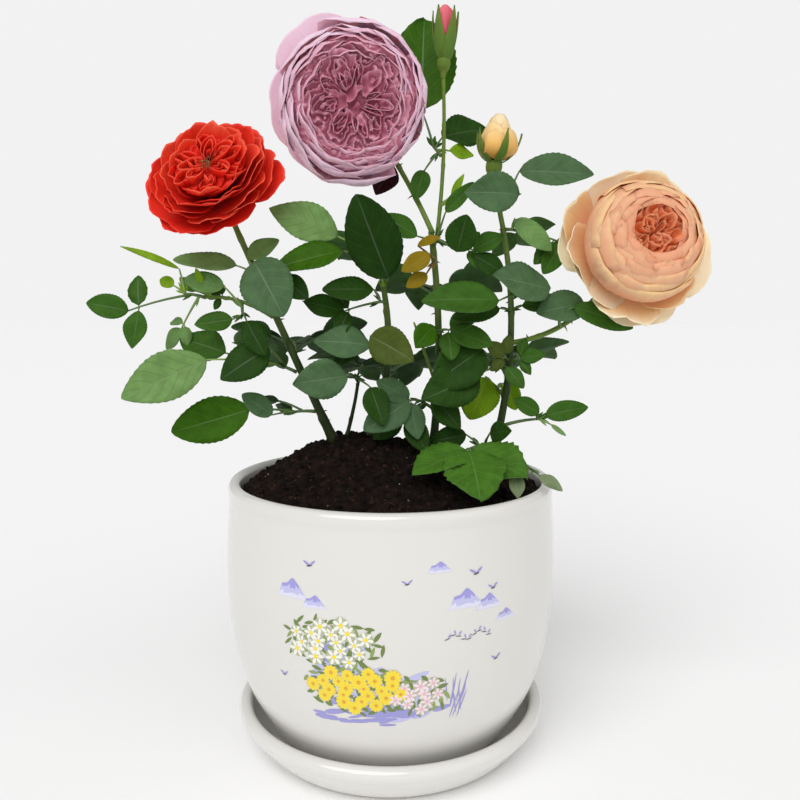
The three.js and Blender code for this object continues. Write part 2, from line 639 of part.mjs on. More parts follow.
// Each flower: where its calyx starts and its axis, the size of its heart and its guard petals
// as [turn, reach, lift, width].
const BLOOMS = {
  red: {
    base: ["cane_left", vec(-0.2, -0.84, 0.5)],
    petal: RED_PETAL,
    calyx: { length: 9, radius: 4, sepal: 17 },
    heart: { radius: 31, depth: 23, folds: 9, hollow: 0.3 },
    guards: [
      [5, 38, 7, 24],
      [60, 33, 12, 34],
      [120, 34, 12, 34],
      [180, 34, 12, 34],
      [240, 33, 8, 34],
      [300, 33, 8, 34],
    ],
  },
  mauve: {
    base: ["stalk_mauve", vec(-0.03, -0.985, -0.12)],
    petal: MAUVE_PETAL,
    calyx: { length: 9, radius: 4.5, sepal: 18 },
    heart: { radius: 36, depth: 30, folds: 11, hollow: 0.28 },
    guards: [
      [125, 50, 5, 44],
      [178, 45, 7, 40],
      [232, 43, 8, 38],
      [285, 41, 8, 38],
      [340, 40, 8, 38],
      [60, 39, 8, 40],
    ],
  },
  apricot: {
    base: ["stalk_apricot", vec(0.12, -0.97, 0.2)],
    petal: APRICOT_PETAL,
    calyx: { length: 9, radius: 4.5, sepal: 18 },
    heart: { radius: 29, depth: 30, folds: 7, hollow: 0.4 },
    guards: [
      [165, 40, 6, 38],
      [100, 35.5, 10, 40],
      [40, 35.5, 9, 40],
      [345, 35.5, 8, 38],
      [278, 39, 4, 36],
      [220, 34, 10, 34],
    ],
  },
};
const REFLEXED = 100; // how far the sepals of an open bloom lean away from its axis

const BUDS = {
  rose_bud: {
    base: ["stalk_bud", vec(0.04, 0.02, 1)],
    petal: ROSE_PETAL,
    calyx: { length: 8, radius: 4, sepal: 25 },
    radius: 5.2,
    length: 27,
    spread: 4,
  },
  buff_bud: {
    base: ["cane_right", vec(0.1, -0.08, 1)],
    petal: BUFF_PETAL,
    calyx: { length: 9, radius: 4.2, sepal: 15 },
    radius: 9,
    length: 23,
    spread: 10,
  },
};

// A sepal is a narrow blade that leaves the cup's edge, turns at its knee and runs on to its tip.
function sepalSolid(root, knee, tip, outward, width) {
  const line = new THREE.QuadraticBezierCurve3(root, knee, tip);
  const side = outward.clone().cross(vec(0, 0, 1)).normalize();
  return solidFrom(
    shaped(new THREE.SphereGeometry(1, 4, 4), (p) => {
      const t = Math.acos(THREE.MathUtils.clamp(-p.y, -1, 1)) / Math.PI;
      const ring = Math.hypot(p.x, p.z);
      const isEnd = ring < 1e-6;
      const half = isEnd ? 0 : (0.5 * width * Math.sin(Math.PI * t ** 0.7) * p.x) / ring;
      const over = isEnd ? 0 : (0.35 * p.z) / ring;
      const upper = line.getTangent(t).cross(side).negate();
      return line.getPoint(t).addScaledVector(side, half).addScaledVector(upper, over);
    }),
  );
}

// The green seed cup below a flower, with five pointed sepals that lean away from the axis by
// spread degrees; on a bud they first go round the petals, which have petalR.
function calyxSolid({ length, radius, sepal }, spread, petalR) {
  const cup = lathed(
    [
      [0, 0],
      [radius * 0.5, length * 0.12],
      [radius * 0.9, length * 0.45],
      [radius, length * 0.8],
      [radius * 0.8, length],
      [0, length],
    ],
    8,
  );
  const pieces = [solidFrom(cup)];
  for (let i = 0; i < 5; i += 1) {
    const turn = radians(i * 72 + 20);
    const outward = vec(Math.cos(turn), Math.sin(turn), 0);
    const way = outward.clone().multiplyScalar(Math.sin(radians(spread))).setZ(Math.cos(radians(spread)));
    const root = outward.clone().multiplyScalar(radius * 0.5).setZ(length * 0.8);
    const knee = outward.clone().multiplyScalar(Math.max(radius * 1.4, petalR * 1.6)).setZ(length * 0.95);
    const tip = outward.clone().multiplyScalar(Math.max(radius, petalR)).setZ(length);
    tip.addScaledVector(way, sepal);
    pieces.push(sepalSolid(root, knee, tip, outward, 0.3 * sepal));
  }
  return joined(pieces);
}

function budSolid({ radius, length }) {
  const outline = [
    [0, 0],
    [radius * 0.55, 0],
    [radius * 0.95, length * 0.22],
    [radius, length * 0.4],
    [radius * 0.78, length * 0.66],
    [radius * 0.42, length * 0.88],
    [0, length],
  ];
  return solidFrom(
    shaped(lathed(outline, 12), (p) => {
      const angle = Math.atan2(p.y, p.x);
      const wrap = 1 + 0.08 * Math.cos(3 * angle - 4 * (p.z / length));
      return vec(p.x * wrap, p.y * wrap, p.z);
    }),
  );
}

// A flower's frame starts just clear of the tip of the limb that carries it, however it nods.
function flowerBase([limbName, axis]) {
  const { curve, radiusAt } = limbs[limbName];
  const way = axis.clone().normalize();
  const nod = way.angleTo(curve.getTangentAt(1));
  return { origin: curve.getPointAt(1).addScaledVector(way, SEAT_GAP + radiusAt(1) * Math.sin(nod)), way };
}

function addFlower(name, { base, petal, calyx, heart, guards, radius, length, spread }) {
  const { origin, way } = flowerBase(base);
  const isBud = !heart;
  const cup = isBud ? calyxSolid(calyx, spread, radius) : calyxSolid(calyx, REFLEXED, 0);
  add(`${name}_calyx`, cup.transform(flowerFrame(origin, way).elements), SEPAL);
  const frame = flowerFrame(origin.clone().addScaledVector(way, calyx.length + SEAT_GAP), way);
  const body = isBud
    ? budSolid({ radius, length })
    : joined([
        heartSolid(heart),
        ...guards.map(([turn, reach, lift, width]) => petalSolid({ turn, reach, lift, width })),
      ]);
  add(isBud ? name : `${name}_bloom`, body.transform(frame.elements), petal);
}

// ---- assembly ----
add("saucer", saucerSolid(), GLAZE);
add("pot", potSolid(), GLAZE);

let soil = soilSolid();
for (const cane of Object.values(CANES)) {
  const socketR = cane.footR + CANE_FLARE + 1;
  const socket = new THREE.CylinderGeometry(socketR + 9, socketR, 20, 10).rotateX(Math.PI / 2);
  socket.translate(cane.foot.x, cane.foot.y, cane.foot.z + 10 - SEAT_GAP);
  soil = soil.subtract(solidFrom(socket));
}
add("soil", soil, SOIL);

for (const [name, cane] of Object.entries(CANES)) {
  addLimb(name, { ...cane, flare: CANE_FLARE, steps: 10 });
}
for (const [name, { from, ...shape }] of Object.entries(STALKS)) {
  const [limbName, at, heading, rise] = from;
  addLimb(name, { ...shape, foot: leaving(limbName, at, towards(heading, rise), shape.footR) });
}
for (const [name, bloom] of Object.entries(BLOOMS)) addFlower(name, bloom);
for (const [name, bud] of Object.entries(BUDS)) addFlower(name, bud);
Object.entries(MASSES).forEach(([name, mass], i) => add(name, massSolid(mass, i + 1), LEAF));

export default bush;
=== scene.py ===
# A rose bush in a glazed pot that stands in its saucer, built up in the order in which the real one
# is put together. Sizes are in millimetres until a mesh is made; +Z is up and -Y is the front.
import math
import random

import bmesh
import bpy
import numpy as np
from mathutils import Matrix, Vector, noise


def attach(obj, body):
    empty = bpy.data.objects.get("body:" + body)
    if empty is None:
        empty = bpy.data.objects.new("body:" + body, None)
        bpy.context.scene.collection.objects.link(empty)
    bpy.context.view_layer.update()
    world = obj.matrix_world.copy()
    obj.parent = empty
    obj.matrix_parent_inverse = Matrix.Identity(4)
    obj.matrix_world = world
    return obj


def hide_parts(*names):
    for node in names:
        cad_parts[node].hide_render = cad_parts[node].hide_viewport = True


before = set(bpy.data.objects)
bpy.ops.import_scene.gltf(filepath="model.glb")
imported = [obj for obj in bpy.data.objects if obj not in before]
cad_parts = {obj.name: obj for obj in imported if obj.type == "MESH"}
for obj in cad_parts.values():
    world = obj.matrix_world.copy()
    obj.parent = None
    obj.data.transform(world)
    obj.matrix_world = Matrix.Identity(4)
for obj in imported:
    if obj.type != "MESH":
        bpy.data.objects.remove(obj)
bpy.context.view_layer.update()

# ---- saucer ----
# A round dish of white clay, thrown on a wheel, with a foot ring and a rolled rim.
# It is glazed all over except the foot ring, which stands on the table.
MM = 0.001
ROUND = 128
GLAZE_WHITE = (0.7, 0.685, 0.65)
BARE_CLAY = (0.62, 0.54, 0.45)


def fill(tree, step, inputs):
    """Sets a shading step's inputs, each to a plain value or to another step's output."""
    for socket, value in inputs.items():
        if isinstance(value, bpy.types.NodeSocket):
            tree.links.new(value, step.inputs[socket])
        else:
            step.inputs[socket].default_value = value
    return step.outputs


def shade_step(tree, kind, inputs=None, **options):
    """Adds a step to a material's shading and gives its outputs."""
    step = tree.nodes.new(f"ShaderNode{kind}")
    for option, value in options.items():
        setattr(step, option, value)
    return fill(tree, step, inputs or {})


def speckle(tree, scale, detail):
    """Noise laid over a piece by its own coordinates."""
    place = shade_step(tree, "TexCoord")["Object"]
    return shade_step(tree, "TexNoise", {"Vector": place, "Scale": scale, "Detail": detail})["Fac"]


def feed(material, **sockets):
    """Sets sockets of a material's shader, to plain values or to outputs of shading steps."""
    tree = material.node_tree
    named = {socket.replace("_", " "): value for socket, value in sockets.items()}
    fill(tree, tree.nodes["Principled BSDF"], named)


def finish_of(name, colour, roughness, **sockets):
    """A finish of one colour, with the shader's other sockets by their names."""
    material = bpy.data.materials.new(name)
    material.use_nodes = True
    feed(material, Base_Color=(*colour, 1), Roughness=roughness, **sockets)
    return material


def flowing(corners, per_span=6):
    """A smooth line through an outline's corners, given as (radius, height)."""
    ends = [corners[0], *corners, corners[-1]]
    line = []
    for a, b, c, d in zip(ends, ends[1:], ends[2:], ends[3:]):
        a, b, c, d = (Vector(p) for p in (a, b, c, d))
        for step in range(per_span):
            t = step / per_span
            bent = (2 * a - 5 * b + 4 * c - d) * t**2 + (3 * b - a - 3 * c + d) * t**3
            line.append(0.5 * (2 * b + (c - a) * t + bent))
    return [tuple(p) for p in line] + [tuple(corners[-1])]


def rolled(radius, height, lip, steps=8):
    """A rim's half circle, from the outside over the top to the inside."""
    turns = [math.pi * i / steps for i in range(steps + 1)]
    return [(radius + lip * math.cos(turn), height + lip * math.sin(turn)) for turn in turns]


def turned(outline, steps=ROUND):
    """A closed body turned from a half outline that starts and ends on the axis."""
    bm = bmesh.new()
    corners = [bm.verts.new((r * MM, 0, z * MM)) for r, z in outline]
    edges = [bm.edges.new(pair) for pair in zip(corners, corners[1:])]
    bmesh.ops.spin(bm, geom=corners + edges, axis=(0, 0, 1), angle=2 * math.pi, steps=steps, use_merge=True)
    bmesh.ops.remove_doubles(bm, verts=bm.verts, dist=1e-6)
    bmesh.ops.recalc_face_normals(bm, faces=bm.faces)
    return bm


def piece_of(name, bm, materials, stands_for=()):
    """Makes a piece of a finished bmesh."""
    mesh = bpy.data.meshes.new(name)
    bm.to_mesh(mesh)
    bm.free()
    placed(name, mesh, materials, stands_for)


def placed(name, mesh, materials, stands_for=()):
    """Puts a piece on the plant's one body, with the solids that it stands for."""
    for material in materials:
        mesh.materials.append(material)
    mesh.shade_smooth()
    piece = bpy.data.objects.new(name, mesh)
    bpy.context.scene.collection.objects.link(piece)
    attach(piece, "root")
    if stands_for:
        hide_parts(*stands_for)


glaze = finish_of("glaze", GLAZE_WHITE, 0.14, Coat_Weight=0.6, Coat_Roughness=0.04)
flow = speckle(glaze.node_tree, 22, 2)
ripple = shade_step(glaze.node_tree, "Bump", {"Height": flow, "Strength": 0.12, "Distance": 0.0015})
feed(glaze, Normal=ripple["Normal"])
clay = finish_of("bare_clay", BARE_CLAY, 0.85)


def bare_the_foot(bm, level, radius):
    """Leaves the clay bare below a level and inside a radius."""
    for face in bm.faces:
        middle = face.calc_center_median()
        if middle.z < level * MM and math.hypot(middle.x, middle.y) < radius * MM:
            face.material_index = 1


SAUCER_FOOT = [(0, 0.8), (56, 0.8), (58, 0), (66.2, 0)]
saucer_outline = [
    *SAUCER_FOOT,
    *flowing([(67.3, 0.5), (71, 2.6), (78, 11), (81.3, 15.6), (82, 18.5)]),
    *rolled(78.5, 18.5, 3.5)[1:],
    *flowing([(75, 18.4), (73, 12.6), (67.5, 7.8), (61.5, 6.1), (56, 6)])[1:],
    (0, 6),
]
saucer = turned(saucer_outline)
bare_the_foot(saucer, 0.85, 67)
piece_of("saucer_glazed", saucer, [glaze, clay], ["saucer"])

# ---- pot ----
# A round-bellied pot of the same clay and glaze, with a narrow foot ring and a soft band round its
# mouth. It stands loose in the saucer.
POT_FOOT = [(0, 7.6), (50, 7.6), (51.5, 6.3), (57.2, 6.3)]
POT_SIDE = [
    (58.4, 6.9), (62, 8.4), (66, 13), (71, 21), (76.5, 32), (81.7, 48), (85.2, 67), (86.8, 88),
    (86.4, 109), (85.5, 124), (85.15, 129.5), (85.0, 131.8),
]
POT_INSIDE = [(78.8, 134), (80.3, 88), (75.2, 50), (66, 28), (52, 14.3)]
pot_wall = flowing(POT_SIDE)
pot_outline = [
    *POT_FOOT,
    *pot_wall,
    (85.3, 134),
    *rolled(82.2, 136.75, 3.25),
    *flowing(POT_INSIDE),
    (0, 14.3),
]
pot = turned(pot_outline)
bare_the_foot(pot, 6.9, 58.5)
piece_of("pot_glazed", pot, [glaze, clay], ["pot"])

# ---- flower print on the pot ----
# A transfer in enamel colours fired onto the glaze: loose beds of daisies and blossom over a pale
# wash, with hills, grass, a twig and far birds. It is a tenth of a millimetre thick.
PRINT_MIDDLE = 86.8
PRINT_COLOURS = {
    "wash": (0.3, 0.29, 0.62),
    "mist": (0.5, 0.5, 0.76),
    "hill": (0.3, 0.28, 0.62),
    "twig": (0.09, 0.07, 0.12),
    "leaf": (0.13, 0.2, 0.035),
    "pale_leaf": (0.24, 0.32, 0.08),
    "yellow": (0.87, 0.66, 0.02),
    "amber": (0.72, 0.36, 0.01),
    "white": (0.82, 0.82, 0.74),
    "pink": (0.8, 0.42, 0.52),
    "pale_pink": (0.84, 0.68, 0.74),
    "shade": (0.42, 0.45, 0.3),
}
GOLDEN_TURN = 2.4  # radians from one flower of a bed to the next
GLAZE_LIFT = 0.06  # how far the lowest colour lies off the wall
COAT_LIFT = 0.022  # from one coat to the next
DAB_LIFT = 0.00004  # from one stroke to the next
print_tones = list(PRINT_COLOURS)
wall_heights = np.array([z for _, z in pot_wall])
wall_radii = np.array([r for r, _ in pot_wall])
print_marks = []


def dab(x, z, long, wide, turn, tone, level, kind="round"):
    """One stroke of colour, centred x to the right of the pot's front and z above the table."""
    print_marks.append((x, z, long / 2, wide / 2, math.radians(turn), print_tones.index(tone), level, kind))


def daisy(x, z, size, petal_tone, heart_tone, petals, level):
    reach = 0.3 * size
    for i in range(petals):
        turn = 360 * i / petals + 7 * x
        out, up = reach * math.cos(math.radians(turn)), reach * math.sin(math.radians(turn))
        dab(x + out, z + up, 0.42 * size, 0.2 * size, turn, petal_tone, level)
    dab(x, z, 0.26 * size, 0.26 * size, 0, heart_tone, level + 2)


# Each bed of flowers: its middle and half sizes on the wall, the count and size of its flowers, and
# their petal and heart tones.
BEDS = [
    (-26, 82, 20, 9.5, 18, 7.0, "white", "yellow", 6),
    (14, 58, 11.5, 8, 10, 6.6, "pale_pink", "pink", 6),
    (-14, 61, 22, 10, 23, 7.0, "yellow", "amber", 12),
]
LEAF_TONES = ["leaf", "leaf", "pale_leaf"]
painter = random.Random(5)
for i in range(80):
    x = painter.uniform(-32, 16)
    z = 60 - 0.4 * x + painter.gauss(0, 6)
    tone = painter.choice(["mist", "mist", "wash"])
    dab(x, z, painter.uniform(8, 15), painter.uniform(2.5, 5.5), 18 + painter.uniform(-10, 10), tone, 0)
for i in range(34):
    x = painter.gauss(-4, 13)
    z = 48 + 0.05 * x + painter.gauss(0, 2.6)
    dab(x, z, painter.uniform(7, 12), painter.uniform(1.2, 2.8), 8 + painter.uniform(-8, 8), "wash", 1)
for middle_x, middle_z, half_x, half_z, count, size, petals, heart, petal_count in BEDS:
    for i in range(4 * count):
        turn = GOLDEN_TURN * i
        reach = math.sqrt((i + 0.5) / (4 * count)) * 1.22
        x = middle_x + half_x * reach * math.cos(turn)
        z = middle_z + half_z * reach * math.sin(turn)
        tone = painter.choice(LEAF_TONES)
        long, wide, lean = painter.uniform(4, 6.5), painter.uniform(1.6, 2.6), painter.uniform(-80, 80)
        dab(x, z, long, wide, lean, tone, 3, "leaf")
    for i in range(count):
        turn = GOLDEN_TURN * i + 0.6
        reach = math.sqrt((i + 0.5) / count)
        x = middle_x + half_x * reach * math.cos(turn)
        z = middle_z + half_z * reach * math.sin(turn)
        grown = size * painter.uniform(0.85, 1.15)
        dab(x, z, grown * 0.95, grown * 0.95, 0, "shade", 5 + i % 2)
        daisy(x, z, grown, petals, heart, petal_count, 6 + i % 2)
for i in range(16):
    x = 33 + painter.gauss(0, 4)
    z = 52 + painter.uniform(-3, 9)
    dab(x, z, painter.uniform(9, 16), 0.7, 90 + painter.uniform(-16, 16), "hill", 2, "leaf")
for i in range(9):
    dab(26 + 2.6 * i, 84 + 1.5 * math.sin(1.3 * i), 3.4, 0.5, 14 * math.cos(1.3 * i) + 6, "twig", 4, "leaf")
    dab(27 + 2.5 * i, 85.4 + 1.5 * math.sin(1.3 * i), 2.2, 0.8, 50 + 60 * (i % 2), "hill", 4, "leaf")
BIRDS = [(40, 112, 5.5), (49, 104, 4.5), (-36, 116, 5), (8, 110, 4), (52, 70, 4.5), (-52, 62, 4)]
for x, z, size in BIRDS:
    dab(x - 0.3 * size, z + 0.16 * size, 0.8 * size, 0.22 * size, 152, "hill", 4, "leaf")
    dab(x + 0.3 * size, z + 0.2 * size, 0.8 * size, 0.22 * size, 40, "hill", 4, "leaf")
    dab(x, z - 0.05 * size, 0.6 * size, 0.2 * size, 10, "twig", 5, "leaf")


def arrays_of(bm):
    """The corners and faces of a small shape, as arrays to make many copies from."""
    corners = np.array([vert.co for vert in bm.verts])
    faces = np.array([[vert.index for vert in face.verts] for face in bm.faces])
    bm.free()
    return corners, faces


def on_pot(x, z, lift):
    """Points on the pot's wall, from their place on the print laid flat."""
    radius = np.interp(z, wall_heights, wall_radii) + lift
    return np.stack([radius * np.sin(x / PRINT_MIDDLE), -radius * np.cos(x / PRINT_MIDDLE), z], axis=-1)


def mesh_from(name, copies, faces, tones):
    """A mesh of like shapes: the corners of each copy, the faces of one, and their materials."""
    count, corners = copies.shape[:2]
    all_faces = faces[None] + np.arange(count)[:, None, None] * corners
    mesh = bpy.data.meshes.new(name)
    all_corners = (copies.reshape(-1, 3) * MM).tolist()
    mesh.from_pydata(all_corners, [], all_faces.reshape(-1, faces.shape[1]).tolist())
    all_tones = np.broadcast_to(tones, (count, len(faces))).astype(np.int32)
    mesh.polygons.foreach_set("material_index", all_tones.ravel())
    mesh.update()
    return mesh


disc = bmesh.new()
bmesh.ops.create_circle(disc, cap_ends=True, cap_tris=True, segments=12, radius=1)
bmesh.ops.subdivide_edges(disc, edges=disc.edges, cuts=1, use_grid_fill=True)
bmesh.ops.triangulate(disc, faces=disc.faces)
corners, faces = arrays_of(disc)
along, across = corners[:, 0], corners[:, 1]
slim = across * np.sqrt(np.maximum(0, 1 - along**2)) * 0.9
strokes = []
for i, (x, z, long, wide, turn, tone, level, kind) in enumerate(print_marks):
    u, v = along * long, (slim if kind == "leaf" else across) * wide
    flat_x = x + u * math.cos(turn) - v * math.sin(turn)
    flat_z = z + u * math.sin(turn) + v * math.cos(turn)
    strokes.append(on_pot(flat_x, flat_z, GLAZE_LIFT + COAT_LIFT * level + DAB_LIFT * i))
stroke_tones = np.array([mark[5] for mark in print_marks])[:, None]
enamels = [finish_of(f"print_{tone}", PRINT_COLOURS[tone], 0.2, Coat_Weight=0.5) for tone in print_tones]
placed("pot_print", mesh_from("pot_print", np.stack(strokes), faces, stroke_tones), enamels)

# Far hills as (x, z, width, height), each a ridge that is darkest at its crest.
HILLS = [
    (-46, 100, 17, 9), (-34, 97, 13, 6), (34, 97, 18, 9), (46, 95, 14, 7), (22, 114, 12, 5), (56, 88, 12, 5),
]
hills = bmesh.new()
for x, z, wide, tall in HILLS:
    made = bmesh.ops.create_grid(hills, x_segments=18, y_segments=4, size=1)["verts"]
    for vert in made:
        across, up = vert.co.x, (vert.co.y + 1) / 2
        crest = max(0.0, 1 - abs(across - 0.15) ** 1.2 * 1.1) + 0.35 * max(0.0, 1 - abs(across + 0.55) / 0.35)
        rise = up * (0.06 + tall * min(1.0, crest))
        vert.co = Vector(on_pot(x + across * wide / 2, z + rise, 0.09).tolist()) * MM
    for face in {face for vert in made for face in vert.link_faces}:
        height = face.calc_center_median().z / MM - z
        face.material_index = 0 if height > 0.55 * tall else 1 if height > 0.25 * tall else 2
bmesh.ops.recalc_face_normals(hills, faces=hills.faces)
HILL_SHADES = [(0.32, 0.3, 0.66), (0.5, 0.5, 0.76), (0.68, 0.68, 0.82)]
hill_enamels = [finish_of(f"hill_{i}", shade, 0.2, Coat_Weight=0.5) for i, shade in enumerate(HILL_SHADES)]
piece_of("pot_hills", hills, hill_enamels)

# ---- soil ----
# Dark crumbly potting soil that fills the pot and is heaped round the canes. Crumbs, bits of bark and
# short root fibres lie loose on it.
SOIL_EDGE_Z = 134
SOIL_EDGE_R = 77.9
HEAPS = [(-16, 14, 37, 25), (66, 14, 9, 9)]  # (x, y, spread, height)


def soil_height(x, y):
    """The soil's height without its crumbs: it is heaped at the left canes and at the right one."""
    heaped = 0
    for middle_x, middle_y, wide, tall in HEAPS:
        heaped += tall * math.exp(-((x - middle_x) ** 2 + (y - middle_y) ** 2) / (2 * wide**2))
    crumbs = 0.9 * math.sin(x * 0.31 + 1.3 * math.sin(y * 0.23)) * math.cos(y * 0.27 + math.sin(x * 0.19))
    bare = 1 - min(1, math.hypot(x, y) / 79) ** 8
    return SOIL_EDGE_Z + (heaped + crumbs) * bare


def crumbly(x, y):
    """The soil's height with its lumps and crumbs."""
    coarse = noise.fractal(Vector((x / 7, y / 7, 3)), 1.0, 2.0, 3)
    fine = noise.fractal(Vector((x / 1.9, y / 1.9, 9)), 0.8, 2.0, 2)
    return soil_height(x, y) + 2.1 * coarse + 0.8 * fine


SOIL_SIDE = [(0, 15), (51, 15), (65, 28.5), (74.6, 50), (79.6, 88), (78.2, 131)]
top_rings = [(SOIL_EDGE_R * (1 - i / 80), SOIL_EDGE_Z) for i in range(81)]
soil = turned([*SOIL_SIDE, *top_rings], steps=240)
for vert in soil.verts:
    if vert.co.z > (SOIL_EDGE_Z - 0.1) * MM:
        x, y = vert.co.x / MM, vert.co.y / MM
        vert.co.z = crumbly(x, y) * MM
bmesh.ops.recalc_face_normals(soil, faces=soil.faces)


def shade_ramp(tree, level, stops):
    """Colour along a scale from 0 to 1, through stops given as (place, colour)."""
    step = tree.nodes.new("ShaderNodeValToRGB")
    marks = step.color_ramp.elements
    while len(marks) < len(stops):
        marks.new(0.5)
    for mark, (at, colour) in zip(marks, stops):
        mark.position = at
        mark.color = (*colour, 1)
    return fill(tree, step, {"Fac": level})["Color"]


SOIL_SHADES = [(0.38, (0.003, 0.002, 0.0015)), (0.72, (0.017, 0.009, 0.007))]
earth = finish_of("soil", (0.01, 0.006, 0.004), 0.95, Specular_IOR_Level=0.1)
feed(earth, Base_Color=shade_ramp(earth.node_tree, speckle(earth.node_tree, 260, 4), SOIL_SHADES))
piece_of("soil_heap", soil, [earth], ["soil"])


def lump_of(roundness):
    """A small dented clod as arrays of its corners and faces."""
    bm = bmesh.new()
    bmesh.ops.create_icosphere(bm, subdivisions=roundness, radius=1)
    for vert in bm.verts:
        vert.co *= 1 + 0.3 * noise.noise(vert.co * 1.7)
    return arrays_of(bm)


def scattered(rng, count, largest, spread=75.0, sunk=0.3):
    """Seeded places on the soil as (x, y, z, size), small ones the most common."""
    rows = []
    while len(rows) < count:
        x, y = rng.uniform(-spread, spread), rng.uniform(-spread, spread)
        if math.hypot(x, y) > spread:
            continue
        size = largest * (0.3 + 0.7 * rng.random() ** 3)
        rows.append((x, y, crumbly(x, y) - sunk * size, size))
    return rows


def turned_frames(rng, count):
    """One random turning matrix for each copy."""
    axes, _ = np.linalg.qr(rng.normal(size=(count, 3, 3)))
    return axes * np.sign(np.linalg.det(axes))[:, None, None]


def heap_of(name, lump, rows, stretch, materials, seed):
    """Copies of a clod, each turned and stretched its own way, at (x, y, z, size)."""
    corners, faces = lump
    rng = np.random.default_rng(seed)
    rows = np.array(rows)
    shapes = corners[None] * rng.uniform(1 - stretch, 1 + stretch, (len(rows), 1, 3))
    shapes = np.einsum("nij,nkj->nki", turned_frames(rng, len(rows)), shapes)
    shapes = shapes * rows[:, None, 3:4] + rows[:, None, :3]
    tones = rng.integers(0, len(materials), (len(rows), 1))
    placed(name, mesh_from(name, shapes, faces, tones), materials)


sower = random.Random(11)
humus = finish_of("humus", (0.008, 0.005, 0.004), 0.95, Specular_IOR_Level=0.1)
bark_chip = finish_of("bark_chip", (0.03, 0.014, 0.009), 0.9, Specular_IOR_Level=0.1)
pale_grit = finish_of("pale_grit", (0.2, 0.16, 0.12), 0.8)
heap_of("soil_clods", lump_of(2), scattered(sower, 420, 3.4), 0.3, [earth, humus], 1)
heap_of("soil_crumbs", lump_of(1), scattered(sower, 1700, 1.6), 0.4, [earth, humus, bark_chip], 2)
heap_of("soil_grit", lump_of(1), scattered(sower, 90, 0.6, sunk=0.0), 0.4, [pale_grit], 3)

# ---- canes and stalks ----
# Green canes with smooth bark, thicker at each joint where a leaf or side stalk grew, older and
# browner towards the soil. Hooked prickles sit on the bark.
CANE_SINK = 2
CANE_FLARE = 1.1
SEAT_GAP = 0.3
TUBE_SIDES = 14


def arr(*numbers):
    return np.array(numbers, dtype=float)


def unit(vector):
    return vector / np.linalg.norm(vector, axis=-1, keepdims=True)


def towards(heading, rise):
    """A direction from its heading round the plant and its rise, in degrees."""
    turn, lift = math.radians(heading), math.radians(rise)
    return arr(math.cos(lift) * math.cos(turn), math.cos(lift) * math.sin(turn), math.sin(lift))


class Limb:
    """A tapering limb along one bow from its foot to its tip; places on it are shares of its length."""

    def __init__(self, foot, tip, bow, foot_r, tip_r, flare=0.0):
        self.foot, self.tip = foot, tip
        self.middle = (foot + tip) / 2 + 2 * bow
        self.foot_r, self.tip_r, self.flare = foot_r, tip_r, flare
        steps = np.linspace(0, 1, 201)
        runs = np.linalg.norm(np.diff(self.bent(steps), axis=0), axis=1)
        self.steps, self.reached = steps, np.concatenate([[0], np.cumsum(runs)])
        self.length = self.reached[-1]

    def bent(self, t):
        t = np.asarray(t)[..., None]
        return (1 - t) ** 2 * self.foot + 2 * t * (1 - t) * self.middle + t**2 * self.tip

    def at(self, share):
        return self.bent(np.interp(np.asarray(share) * self.length, self.reached, self.steps))

    def along(self, share):
        share = np.clip(share, 0.0005, 0.9995)
        return unit(self.at(share + 0.0005) - self.at(share - 0.0005))

    def radius(self, share):
        return self.foot_r + (self.tip_r - self.foot_r) * share


def leaving(limb, share, way, radius):
    """Where a side stalk or a mass's stem leaves a limb, just clear of its bark."""
    tangent = limb.along(share)
    lean = float(tangent @ way)
    across = math.sqrt(max(0.0, 1 - lean**2))
    if share == 1:
        return limb.at(1) + tangent * (SEAT_GAP + radius * across)
    return limb.at(share) + way * (limb.radius(share) + SEAT_GAP + radius * abs(lean)) / max(0.4, across)


def cane(x, y, tip, bow, foot_r, tip_r):
    foot = arr(x, y, soil_height(x, y) - CANE_SINK)
    return Limb(foot, arr(*tip), arr(*bow), foot_r, tip_r, CANE_FLARE)


limbs = {
    "cane_left": cane(-31, 10, (-86, 3, 282), (0.5, -6, 0), 2.3, 1.4),
    "shoot_left": cane(-25, 13, (-18, 9, 188), (1, 0, 2), 1.1, 0.9),
    "cane_mid_left": cane(-11, 14, (-6, -6, 250), (7, 1, 0), 2.6, 1.3),
    "cane_mid": cane(22, 8, (21, 0, 268), (4, 0, 0), 2.2, 1.6),
    "cane_right": cane(53, 10, (52, -4, 293), (11, -2, 0), 2.2, 1.2),
}


def side_stalk(parent, share, heading, rise, tip, bow, foot_r, tip_r):
    foot = leaving(limbs[parent], share, towards(heading, rise), foot_r)
    return Limb(foot, arr(*tip), arr(*bow), foot_r, tip_r)


limbs["shoot_mid"] = side_stalk("cane_mid", 0.3, -95, 40, (12, -11, 221), (0, -2, 0), 1, 0.5)
limbs["stalk_mauve"] = side_stalk("cane_mid", 1, 150, 50, (-19, 15, 332), (0, 8, 8), 1.4, 1.2)
limbs["stalk_bud"] = side_stalk("cane_mid", 0.95, 20, 50, (27, 4, 347), (2, 3, 0), 1.1, 0.9)
limbs["stalk_apricot"] = side_stalk("cane_right", 0.46, 10, 15, (121, 3, 255), (6, 4, -8), 1.4, 1.2)
limbs["side_left"] = side_stalk("cane_left", 0.53, 180, 30, (-97, 0, 234), (0, 0, 3), 1.1, 0.8)


